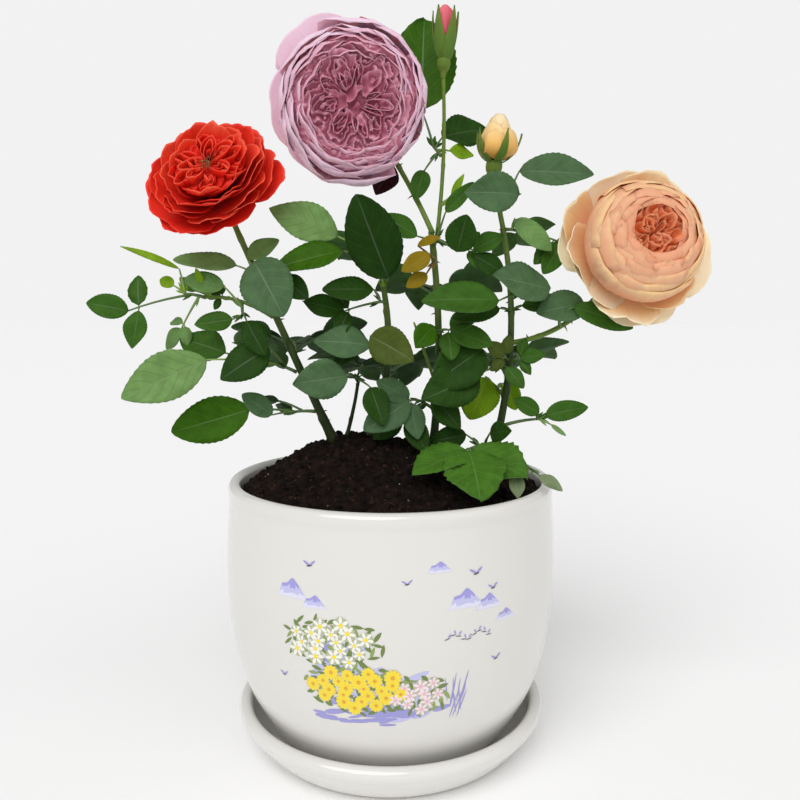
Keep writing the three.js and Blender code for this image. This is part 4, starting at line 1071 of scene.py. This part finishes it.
def flower_frame(origin, out):
    """A turning matrix and place: x to the flower's right, y up and z out along its axis."""
    right = unit(np.cross(arr(0, 0, 1), out))
    return np.stack([right, np.cross(out, right), out], axis=1), origin


def flower_base(limb_name, axis):
    """Where a flower stands on its stalk, just clear of it, and the way it looks."""
    limb = limbs[limb_name]
    way = unit(arr(*axis))
    nod = math.sqrt(max(0.0, 1 - float(way @ limb.along(1)) ** 2))
    return limb.at(1) + way * (SEAT_GAP + limb.tip_r * nod), way


def petal(turn, line, width, cup=1.0, foot=0.12, top=0.68, power=0.7, trim=0.3, ruffle=0.5,
          waves=5.0, curl=0.0, lean=0.0, notch=0.0, fold=0.0, stretch=1.0, tint=0.5, deep=0.0):
    """One petal: its turn round the axis, its middle line as four (radius, height) points, its
    width, how it is cupped, the shares of a half wave that its outline spans, and its rim. A
    folded petal has its two halves laid together, fold apart, and stretched in to the axis. Its
    tint places it on its flower's colour ramp, and deep darkens its foot as painted shade."""
    return (math.radians(turn), line, width, cup, foot, top, power, trim, ruffle, waves, curl, lean, notch,
            fold, stretch, tint, deep)


def on_petals(kit, across, along):
    """Where places across and along a petal fall on every petal of a flower, in its own frame."""
    (turn, line, width, cup, foot, top, power, trim, ruffle, waves, curl, lean, notch, fold, stretch,
     phase) = kit
    dent = notch * np.exp(-((across / 0.22) ** 2))
    t = along * (1 - trim * np.abs(across) ** 3 * along**2 - dent * along**4)
    s = 1 - t
    a, b, c, d = (line[:, corner, :, None] for corner in range(4))
    s, t = s[:, None], t[:, None]
    r, z = np.moveaxis(s**3 * a + 3 * s**2 * t * b + 3 * s * t**2 * c + t**3 * d, 1, 0)
    dr, dz = np.moveaxis(s**2 * (b - a) + 2 * s * t * (c - b) + t**2 * (d - c), 1, 0)
    t = t[:, 0]
    steep = np.hypot(dr, dz) + 1e-9
    half = 0.5 * width * np.sin(math.pi * np.clip(foot + (top - foot) * t, 0.004, 0.996)) ** power
    around = np.where(fold > 0, fold * (0.4 + 0.6 * t), cup * np.sqrt(r**2 + (0.42 * half) ** 2))
    angle = np.clip(across * half / around, -2.6, 2.6)
    wavy = ruffle * np.sin(waves * across + phase) * t**3
    wavy = wavy + 0.4 * ruffle * np.sin(2.7 * waves * across - phase) * t**6
    wavy = wavy - curl * (t**6 + 0.6 * across**4 * t**2)
    r = r + (-dz / steep) * wavy + lean * across * t
    z = z + (dr / steep) * wavy
    inward = r - stretch * around * (1 - np.cos(angle))
    tangent = around * np.sin(angle)
    x = inward * np.cos(turn) - tangent * np.sin(turn)
    y = inward * np.sin(turn) + tangent * np.cos(turn)
    return np.stack([x, y, z], axis=-1)


def petals_mesh(name, petals, master, frame, rng, thick=0.13, shift=(0, 0), depth=1.0):
    """A flower's petals as one mesh. The tint of each corner goes from 0 at a petal's foot to 1 at
    its rim. This is partly the petal's own colour and partly painted light: painted shade at the foot,
    deep in the bloom, and a painted highlight at the rim; shift slides the flower's top sideways."""
    across, along, over, *_ = master
    turn, line, *shapes, tint, deep = (np.array(column, dtype=float) for column in zip(*petals))
    columns = [shape[:, None] for shape in shapes]
    phase = rng.uniform(0, 2 * math.pi, (len(petals), 1))
    kit = (turn[:, None], line, *columns, phase)
    corners = lifted(lambda a, t: on_petals(kit, a, t), across, along, thick * over)
    share = np.clip(corners[..., 2:] / depth, 0, 1.2) ** 2
    corners[..., :2] += share * np.asarray(shift)
    turning, origin = frame
    mesh = sheets_mesh(name, corners @ turning.T + origin, master, 0, "petal")
    # Lighter towards the rim as a painted highlight, and darker at the foot by deep as painted shade.
    tint_with_painted_light = tint[:, None] + (0.4 * (along - 0.7))[None] - deep[:, None] * (1 - along) ** 2
    mesh.attributes.new("tint", "FLOAT", "POINT").data.foreach_set("value", tint_with_painted_light.ravel())
    return mesh


# Fine lines that run from a petal's foot to its rim, for colour and relief.
streaks, depth = pattern_group("petal_streaks", Shade="Float", Normal="Vector")
uv = shade_step(streaks, "UVMap", uv_map="petal")["UV"]
drawn = shade_step(streaks, "Mapping", {"Vector": uv, "Scale": (22, 1.6, 1)})["Vector"]
fine = shade_step(streaks, "TexNoise", {"Vector": drawn, "Scale": 1, "Detail": 3})["Fac"]
relief = shade_step(streaks, "Bump", {"Height": fine, "Strength": depth, "Distance": 0.0003})["Normal"]
fill(streaks, streaks.nodes.new("NodeGroupOutput"), {"Shade": fine, "Normal": relief})


def petal_finish(name, shades, glow):
    """A petal's satin skin: shades are (tint, colour) from its foot to its rim. They are partly the petal's
    own colours and partly painted light, the darkest as painted shade and the lightest as a painted
    highlight.
    """
    material = finish_of(name, shades[0][1], 0.5, Subsurface_Weight=glow, Subsurface_Radius=(1, 0.4, 0.3),
                         Subsurface_Scale=0.002, Specular_IOR_Level=0.3)
    tree = material.node_tree
    lines = shade_step(tree, "Group", {"Relief": 0.15}, node_tree=streaks)
    tint = shade_step(tree, "Attribute", attribute_name="tint")["Fac"]
    vary = shade_step(tree, "Math", {0: lines["Shade"], 1: 0.16, 2: tint}, operation="MULTIPLY_ADD")["Value"]
    level = shade_step(tree, "Math", {0: vary, 1: 0.08}, operation="SUBTRACT")["Value"]
    feed(material, Base_Color=shade_ramp(tree, level, shades), Normal=lines["Normal"])
    return material


SPIRAL_STEP = 137.5  # degrees from one petal of a bud to the next
broad_petal = sheet_master(12, 14, np.linspace(-1, 1, 13))
slim_petal = sheet_master(6, 9, np.linspace(-1, 1, 7))
REFLEXED = 100  # degrees that the sepals of an open bloom are bent back from its axis
CUP_SIDE = [(0.5, 0.12), (0.92, 0.42), (1, 0.75), (0.78, 1), (0, 1)]  # shares of its radius and length
SEPAL_SHAPE = dict(cup=1.1, foot=0.3, top=1.0, power=1.1, trim=0, ruffle=0.25, waves=3, curl=-0.4)
sepal_green = finish_of("sepal_green", (0.1, 0.185, 0.022), 0.55, Specular_IOR_Level=0.2,
                        Subsurface_Weight=0.1)


def calyx_of(name, limb_name, axis, length, radius, sepal, spread=REFLEXED, petal_r=0, first=20):
    """A flower's seed cup and its five sepals. Gives the frame of the petals on top of the cup."""
    base, way = flower_base(limb_name, axis)
    frame = flower_frame(base, way)
    cup_side = [(radius * out, length * up) for out, up in CUP_SIDE]
    cup = turned(flowing([(0, -2), (radius * 0.32, -2), *cup_side], 4), steps=24)
    turning, origin = frame
    for vert in cup.verts:
        vert.co = Vector(turning @ np.array(vert.co) + origin * MM)
    piece_of(f"{name}_cup", cup, [sepal_green], [f"{name}_calyx"])
    tilt = math.radians(spread)
    out = max(radius * 1.25, petal_r * 1.12)
    knee = (out, length * 1.15)
    tip = (out + sepal * 0.96 * math.sin(tilt), length + sepal * 0.96 * math.cos(tilt))
    mid = (out + 0.5 * (tip[0] - out), knee[1] + 0.5 * (tip[1] - knee[1]) + 0.05 * sepal)
    line = [(radius * 0.6, length * 0.85), knee, mid, tip]
    rows = [petal(i * 72 + first, line, 0.32 * sepal, **SEPAL_SHAPE) for i in range(5)]
    rng = np.random.default_rng(len(name))
    mesh = petals_mesh(f"{name}_sepals", rows, slim_petal, frame, rng, thick=0.22)
    placed(f"{name}_sepals", mesh, [sepal_green], [f"{name}_calyx"])
    return flower_frame(base + way * (length + SEAT_GAP), way)


def ring(rng, count, line, width, turn0=0.0, jitter=6.0, vary=0.08, tint_jitter=0.12, **shape):
    """A ring of petals on one middle line, each a little its own."""
    rows = []
    tint = shape.pop("tint", 0.5)
    for i in range(count):
        turn = turn0 + 360 * i / count + rng.uniform(-jitter, jitter)
        grown = 1 + rng.uniform(-vary, vary)
        high = 1 + rng.uniform(-vary, vary)
        own = [(r * grown, z * high) for r, z in line]
        own_tint = tint + rng.uniform(-tint_jitter, tint_jitter)
        rows.append(petal(turn, own, width * (1 + rng.uniform(-vary, vary)), tint=own_tint, **shape))
    return rows


def folds(rng, count, near, far, height, wide, nest, tint, turn0=0.0):
    """Petals folded in two that stand on edge, nested one in another, and point at the heart."""
    rows = []
    for group in range(count):
        middle = turn0 + 360 * group / count + rng.uniform(-14, 14)
        for i in range(nest):
            reach = near + (far - near) * (i + 1) / nest + rng.uniform(-1.3, 1.3)
            inner = near * rng.uniform(0.4, 1.2)
            rise = height + rng.uniform(-1.8, 1.2)
            line = [(0.3 * reach, 4), (0.7 * reach, 0.45 * rise), (0.98 * reach, 0.75 * rise), (reach, rise)]
            fold = wide * (i + 0.8) / nest * rng.uniform(0.8, 1.2)
            own_tint = tint + rng.uniform(-0.12, 0.14)
            turn = middle + rng.uniform(-9, 9)
            stretch = (reach - inner) / (1.8 * fold)
            waves, lean = rng.uniform(4, 8), rng.uniform(-3, 3)
            # deep=0.35 darkens each folded petal's foot as painted shade in the packed heart.
            rows.append(petal(turn, line, 6 * fold, fold=fold, stretch=stretch, ruffle=1.1, waves=waves,
                              lean=lean, tint=own_tint, deep=0.35))
    return rows


def guard_petals(guards, knee, bend, **shape):
    """The outermost petals, each (turn, reach, lift of its rim, width), with the knee as a share of
    the reach and a height, and the bend as shares of the reach and of the lift."""
    rows = []
    for turn, reach, lift, width in guards:
        line = [(2, 1), (reach * knee[0], knee[1]), (reach * bend[0], lift * bend[1]), (reach * 0.97, lift)]
        rows.append(petal(turn, line, width, **shape))
    return rows


def packed_heart(name, frame, radius, shoulder, height, hollow, pitch, deep, centres, tints, shift, seed):
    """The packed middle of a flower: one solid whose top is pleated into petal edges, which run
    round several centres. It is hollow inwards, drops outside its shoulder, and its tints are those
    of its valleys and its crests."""
    flat_top = [(radius * (1 - i / 80), height) for i in range(81)]
    body = turned([(0, height - hollow - 9), (radius * 0.6, height - hollow - 6), *flat_top], steps=260)
    rng = np.random.default_rng(seed)
    spots = []
    for i in range(centres):
        turn = 2 * math.pi * i / centres + rng.uniform(-0.3, 0.3)
        spots.append((turn, shoulder * rng.uniform(0.42, 0.62), rng.uniform(0, 1)))
    turning, origin = frame
    top = (height - 0.1) * MM
    painted_shade_levels = []
    for vert in body.verts:
        x, y, z = vert.co / MM
        r = math.hypot(x, y)
        inward = max(0, 1 - r / shoulder)
        outward = max(0, r - shoulder)
        level = 0.0
        if vert.co.z > top:
            u = x + 0.13 * shoulder * noise.noise(Vector((x / 4, y / 4, seed)))
            v = y + 0.13 * shoulder * noise.noise(Vector((x / 4, y / 4, seed + 7)))
            nearest = 1e9
            for turn, away, start in spots:
                on = u * math.cos(turn) + v * math.sin(turn) - away
                aside = v * math.cos(turn) - u * math.sin(turn)
                nearest = min(nearest, math.hypot(on / 1.8, aside) / pitch + start)
            run = nearest + 0.4 * noise.noise(Vector((x / 3, y / 3, seed + 3)))
            level = (run - math.floor(run)) ** 2.2
            swell = 1.4 * noise.noise(Vector((x / 6, y / 6, seed + 11)))
            pleat = deep * (level - 0.6) * (1 - 0.75 * min(1, outward / 3))
            z += pleat - hollow * inward**1.5 - 0.055 * outward**2 - 0.12 * outward + swell
        # Painted shade in the pleats' valleys and towards the hollow middle, and a painted highlight on their
        # crests.
        share = 0.6 * level + 0.4 * (1 - inward)
        painted_shade_levels.append(tints[0] + (tints[1] - tints[0]) * share)
        slide = np.array([*shift, 0]) * (z / height) ** 2
        vert.co = Vector(turning @ (arr(x, y, z) + slide) + origin) * MM
    mesh = bpy.data.meshes.new(name)
    body.to_mesh(mesh)
    body.free()
    mesh.attributes.new("tint", "FLOAT", "POINT").data.foreach_set("value", painted_shade_levels)
    return mesh


def flower_made(name, node, slot, frame, rows, rng, shades, glow, shift=(0, 0), depth=1.0, heart=None):
    """Makes a flower's petals, and its heart if it has one, with one skin for both."""
    skin = petal_finish(slot, shades, glow)
    mesh = petals_mesh(f"{name}_petals", rows, broad_petal, frame, rng, shift=shift, depth=depth)
    placed(f"{name}_petals", mesh, [skin], [node])
    if heart:
        placed(f"{name}_heart", packed_heart(f"{name}_heart", frame, **heart), [skin], [node])


# The red bloom: wide open and domed, broad ruffled petals outside, then folded ones in five
# groups round a few stamens.
# Colours from a petal's foot to its rim. The darkest is partly painted shade deep in the bloom and the
# lightest partly a painted highlight on the rims, over the red's own range.
RED_SHADES = [
    (0.0, (0.4, 0.006, 0.006)), (0.3, (0.7, 0.018, 0.01)), (0.6, (0.88, 0.045, 0.02)),
    (0.9, (0.95, 0.17, 0.08)),
]
frame = calyx_of("red", "cane_left", (-0.2, -0.84, 0.5), length=9, radius=4, sepal=17)
rng = np.random.default_rng(41)
guards = [
    (5, 38, 7, 26), (60, 33, 12, 32), (120, 34, 12, 32),
    (180, 34, 12, 32), (240, 33, 8, 32), (300, 33, 8, 32),
]
rows = guard_petals(guards, (0.55, 0), (0.9, 0.5), cup=1.5, ruffle=1.0, waves=4, curl=1.0, tint=0.42,
                    deep=0.2, top=0.72)
rings = [
    (7, [(2, 1), (21, 1), (30, 8), (31, 12)], 31, dict(cup=1.3, curl=1.2, ruffle=1.0, tint=0.5)),
    (7, [(2, 1), (18, 3), (28, 12), (28.5, 17)], 29, dict(cup=1.2, curl=1.2, ruffle=1.1, tint=0.52)),
    (7, [(2, 2), (15, 5), (25, 15), (25, 21)], 27, dict(cup=1.1, curl=1.2, ruffle=1.3, tint=0.55)),
    (6, [(2, 2), (13, 6), (22.5, 17), (23, 23.5)], 26, dict(cup=1.05, curl=1.0, ruffle=1.4, tint=0.56)),
    (6, [(2, 2), (11, 7), (19, 19), (19, 26)], 23, dict(cup=1.0, curl=0.8, ruffle=1.6, tint=0.56)),
]
for i, (count, line, width, shape) in enumerate(rings):
    rows += ring(rng, count, line, width, turn0=23 * i, jitter=9, vary=0.08, waves=4.5, deep=0.25,
                 lean=1.5, **shape)
rows += folds(rng, 5, 4.5, 14, 25.5, 4.4, 3, 0.5, turn0=38)
rows += folds(rng, 7, 10, 18, 24.5, 3.8, 2, 0.5, turn0=10)
red_heart = dict(radius=18, shoulder=16, height=20.5, hollow=2, pitch=3.2, deep=2.8, centres=6,
                 tints=(0.2, 0.55), shift=(6, -1), seed=1)
flower_made("red", "red_bloom", "petal_red", frame, rows, rng, RED_SHADES, glow=0.2, shift=(6.5, -1.5),
            depth=24, heart=red_heart)

threads = []
turning, origin = frame
for i in range(26):
    turn, lean = rng.uniform(0, 2 * math.pi), rng.uniform(0.5, 4.5)
    out = arr(math.cos(turn), math.sin(turn), 0)
    foot = arr(0, 0, 3) + out * 1.0
    tip = arr(3.5, 0, 21 + rng.uniform(-2, 1.5)) + out * lean
    line = [turning @ p + origin for p in (foot, (foot + tip) / 2 + out * 0.8, tip)]
    threads.append((*line, 0.16, 0.12, 0))
    threads.append((line[2] - out * 0.5, line[2] + arr(0, 0, 0.2), line[2] + out * 0.5, 0.42, 0.3, 1))
stamen_thread = finish_of("stamen_thread", (0.72, 0.42, 0.2), 0.6)
stamen_head = finish_of("stamen_head", (0.3, 0.17, 0.06), 0.8)
placed("red_stamens", sticks_mesh("red_stamens", threads, stick_master(5, 3)), [stamen_thread, stamen_head],
       ["red_bloom"])

# The mauve bloom: a deep cup of incurved rings, its heart packed with folded petals in quarters.
# Colours from a petal's foot to its rim. The darkest is partly painted shade deep in the cup and the lightest
# partly a painted highlight on the rims, over the mauve's own range.
MAUVE_SHADES = [
    (0.0, (0.25, 0.045, 0.08)), (0.3, (0.45, 0.125, 0.195)), (0.62, (0.68, 0.32, 0.42)),
    (1.0, (0.84, 0.58, 0.7)),
]
frame = calyx_of("mauve", "stalk_mauve", (-0.03, -0.985, -0.12), length=9, radius=4.5, sepal=18)
rng = np.random.default_rng(42)
guards = [
    (125, 49, 3, 42), (178, 43, 7, 42), (232, 40, 8, 40),
    (285, 37, 9, 40), (340, 36.5, 9, 40), (60, 35.5, 10, 40),
]
rows = guard_petals(guards, (0.6, 0), (0.92, 0.4), cup=1.6, ruffle=0.7, waves=3.5, curl=0.8, tint=0.95,
                    notch=0.05)
rims = [(34.6, 19.5), (32.6, 22), (30.4, 24), (28.2, 25.4), (26, 26.6), (23.8, 27.2), (21.4, 27)]
# Each ring further in takes a darker tint, partly the heart's deeper colour and partly painted shade deeper
# in the cup.
for i, (rim_r, rim_z) in enumerate(rims):
    line = [(3, 1), (0.95 * rim_r, -3 + i), (rim_r + 8 - 0.7 * i, rim_z - 3), (rim_r, rim_z)]
    rows += ring(rng, 8, line, 38 - 2 * i, turn0=23 * i, jitter=12, vary=0.06, waves=5, deep=0.1, lean=1.0,
                 cup=1.05, ruffle=1.0 + 0.05 * i, tint=0.88 - 0.055 * i, trim=0.18)
rows += folds(rng, 9, 9, 19, 26.5, 3.6, 2, 0.36, turn0=33)
mauve_heart = dict(radius=34, shoulder=23, height=25.5, hollow=3.5, pitch=3.0, deep=4.2, centres=6,
                   tints=(0.15, 0.66), shift=(3, 0), seed=2)
flower_made("mauve", "mauve_bloom", "petal_mauve", frame, rows, rng, MAUVE_SHADES, glow=0.28,
            shift=(3, 0), depth=28, heart=mauve_heart)

# The apricot bloom: broad petals wrapped into a globe that opens a little to one side.
# Colours from a petal's foot to its rim. The darkest is partly painted shade inside the globe and the
# lightest partly a painted highlight on the rims, over the apricot's own cream edges.
APRICOT_SHADES = [
    (0.0, (0.46, 0.055, 0.01)), (0.25, (0.72, 0.18, 0.055)), (0.5, (0.81, 0.31, 0.17)),
    (0.7, (0.84, 0.4, 0.23)), (0.86, (0.89, 0.57, 0.27)), (1.0, (0.92, 0.77, 0.54)),
]
frame = calyx_of("apricot", "stalk_apricot", (0.12, -0.97, 0.2), length=9, radius=4.5, sepal=18)
rng = np.random.default_rng(43)
guards = [
    (165, 40, 6, 40), (105, 38.5, 10, 42), (48, 40, 8, 42),
    (352, 42, 6, 42), (278, 40.5, 4, 38), (220, 36, 10, 36),
]
rows = guard_petals(guards, (0.6, -1), (0.94, 0.4), cup=1.5, ruffle=0.8, waves=3.5, curl=0.8, tint=0.98,
                    notch=0.04)
rows += ring(rng, 6, [(2, 1), (24, -2), (33, 4), (36.5, 12)], 34, turn0=20, jitter=12, waves=4.5, cup=1.3,
             ruffle=1.5, curl=1.2, tint=0.84, tint_jitter=0.06)
# Each ring further in takes a darker tint, partly the heart's deeper colour and partly painted shade deeper
# in the globe.
for i, rim_r in enumerate([27.5, 24.5, 21, 17.6, 14.6, 12]):
    swell = 32.5 - 0.6 * i
    rim_z = 8 + (24 - 0.25 * i) * math.sqrt(1 - (rim_r / swell) ** 2)
    reach = 0.87 * (swell - rim_r)
    line = [(3, 1), (1.05 * swell, -1), (rim_r + reach, rim_z - 0.17 * reach), (rim_r, rim_z)]
    rows += ring(rng, 4, line, 1.1 * rim_r + 28, turn0=37 * i, jitter=12, vary=0.02, waves=6, trim=0.06,
                 top=0.6, deep=0.3, lean=0.9, cup=0.97, ruffle=0.8, tint=0.72 - 0.045 * i, tint_jitter=0.04)
rows += folds(rng, 5, 2, 9, 29.5, 3.6, 2, 0.3, turn0=40)
apricot_heart = dict(radius=24, shoulder=13, height=27.5, hollow=2.5, pitch=3.0, deep=4.4, centres=4,
                     tints=(0.0, 0.5), shift=(2, 2.5), seed=3)
flower_made("apricot", "apricot_bloom", "petal_apricot", frame, rows, rng, APRICOT_SHADES, glow=0.26,
            shift=(2, 2.5), depth=30, heart=apricot_heart)

# The buds: petals still wound tight, one slim and pink in long sepals, one buff and fat.
ROSE_SHADES = [
    (0.0, (0.3, 0.01, 0.04)), (0.4, (0.65, 0.07, 0.12)), (0.75, (0.82, 0.2, 0.22)), (1.0, (0.88, 0.42, 0.4)),
]
frame = calyx_of("rose_bud", "stalk_bud", (0.04, 0.02, 1), length=8, radius=3.5, sepal=25, spread=4,
                 petal_r=5, first=45)
rng = np.random.default_rng(44)
rows = []
for i in range(6):
    thin = 1 - 0.1 * i
    line = [(1.5, 0), (6.2 * thin, 6), (4.6 * thin, 20), (1.2 * thin, 25.5 - i * 0.3)]
    rows.append(petal(SPIRAL_STEP * i + 200, line, 17 * thin, cup=1, foot=0.2, top=0.8, ruffle=0.15, lean=0.5,
                      tint=0.52 - 0.06 * i))
flower_made("rose_bud", "rose_bud", "petal_rose", frame, rows, rng, ROSE_SHADES, glow=0.12)

BUFF_SHADES = [
    (0.0, (0.6, 0.22, 0.03)), (0.4, (0.82, 0.46, 0.12)), (0.75, (0.88, 0.64, 0.34)), (1.0, (0.9, 0.76, 0.52)),
]
frame = calyx_of("buff_bud", "cane_right", (0.1, -0.08, 1), length=9, radius=4.2, sepal=15, spread=10,
                 petal_r=9)
rng = np.random.default_rng(45)
rows = []
for i in range(8):
    thin = 1 - 0.07 * i
    high = min(22.2, 14.5 + 1.5 * i)
    line = [(2, 0), (13.5 * thin, 3), (10.5 * thin, 0.62 * high), (max(1.2, 7.5 - 1.1 * i), high)]
    rows.append(petal(SPIRAL_STEP * i + 250, line, 25 * thin, cup=1, foot=0.2, top=0.7, ruffle=0.35, lean=0.8,
                      tint=0.46 + 0.06 * i))
flower_made("buff_bud", "buff_bud", "petal_buff", frame, rows, rng, BUFF_SHADES, glow=0.12)

# ---- floor, light and camera ----
# A plain pale floor under an even pale sky, with one broad soft light from the upper left front and
# a weaker one from the right.
FLOOR_R = 40  # metres
FLOOR_Z = -0.0006
floor_sheet = bmesh.new()
bmesh.ops.create_circle(floor_sheet, cap_ends=True, segments=64, radius=FLOOR_R)
for vert in floor_sheet.verts:
    vert.co.z = FLOOR_Z
floor_mesh = bpy.data.meshes.new("floor")
floor_sheet.to_mesh(floor_mesh)
floor_sheet.free()
floor_mesh.materials.append(finish_of("floor_paper", (0.97, 0.97, 0.97), 0.9))
floor = bpy.data.objects.new("floor", floor_mesh)
bpy.context.scene.collection.objects.link(floor)


def soft_sun(name, heading, rise, strength, spread):
    """A broad light from far away, from its heading and rise."""
    lamp = bpy.data.lights.new(name, "SUN")
    lamp.energy = strength
    lamp.angle = math.radians(spread)
    holder = bpy.data.objects.new(name, lamp)
    holder.rotation_mode = "QUATERNION"
    holder.rotation_quaternion = Vector(towards(heading, rise)).to_track_quat("Z", "Y")
    bpy.context.scene.collection.objects.link(holder)


soft_sun("window", -112, 44, 1.7, 50)
soft_sun("fill", -40, 30, 0.45, 70)

SKY_LIGHT = 0.5
SKY_SEEN = 0.888
sky = bpy.data.worlds.new("studio")
sky.use_nodes = True
tree = sky.node_tree
seen = shade_step(tree, "LightPath")["Is Camera Ray"]
level = shade_step(tree, "MapRange", {"Value": seen, "To Min": SKY_LIGHT, "To Max": SKY_SEEN})["Result"]
fill(tree, tree.nodes["Background"], {"Color": (1, 1, 1, 1), "Strength": level})
bpy.context.scene.world = sky
bpy.context.scene.view_settings.view_transform = "Standard"

CAMERA_AT = (0.0049, -0.3964, 0.2226)
CAMERA_DIP = 6.15  # degrees below the level
FOCAL_LENGTH = 33.75
lens = bpy.data.cameras.new("camera")
lens.sensor_width = 36
lens.lens = FOCAL_LENGTH
lens.clip_start = 0.01
camera = bpy.data.objects.new("camera", lens)
camera.location = CAMERA_AT
camera.rotation_euler = (math.radians(90 - CAMERA_DIP), 0, 0)
bpy.context.scene.collection.objects.link(camera)
bpy.context.scene.camera = camera
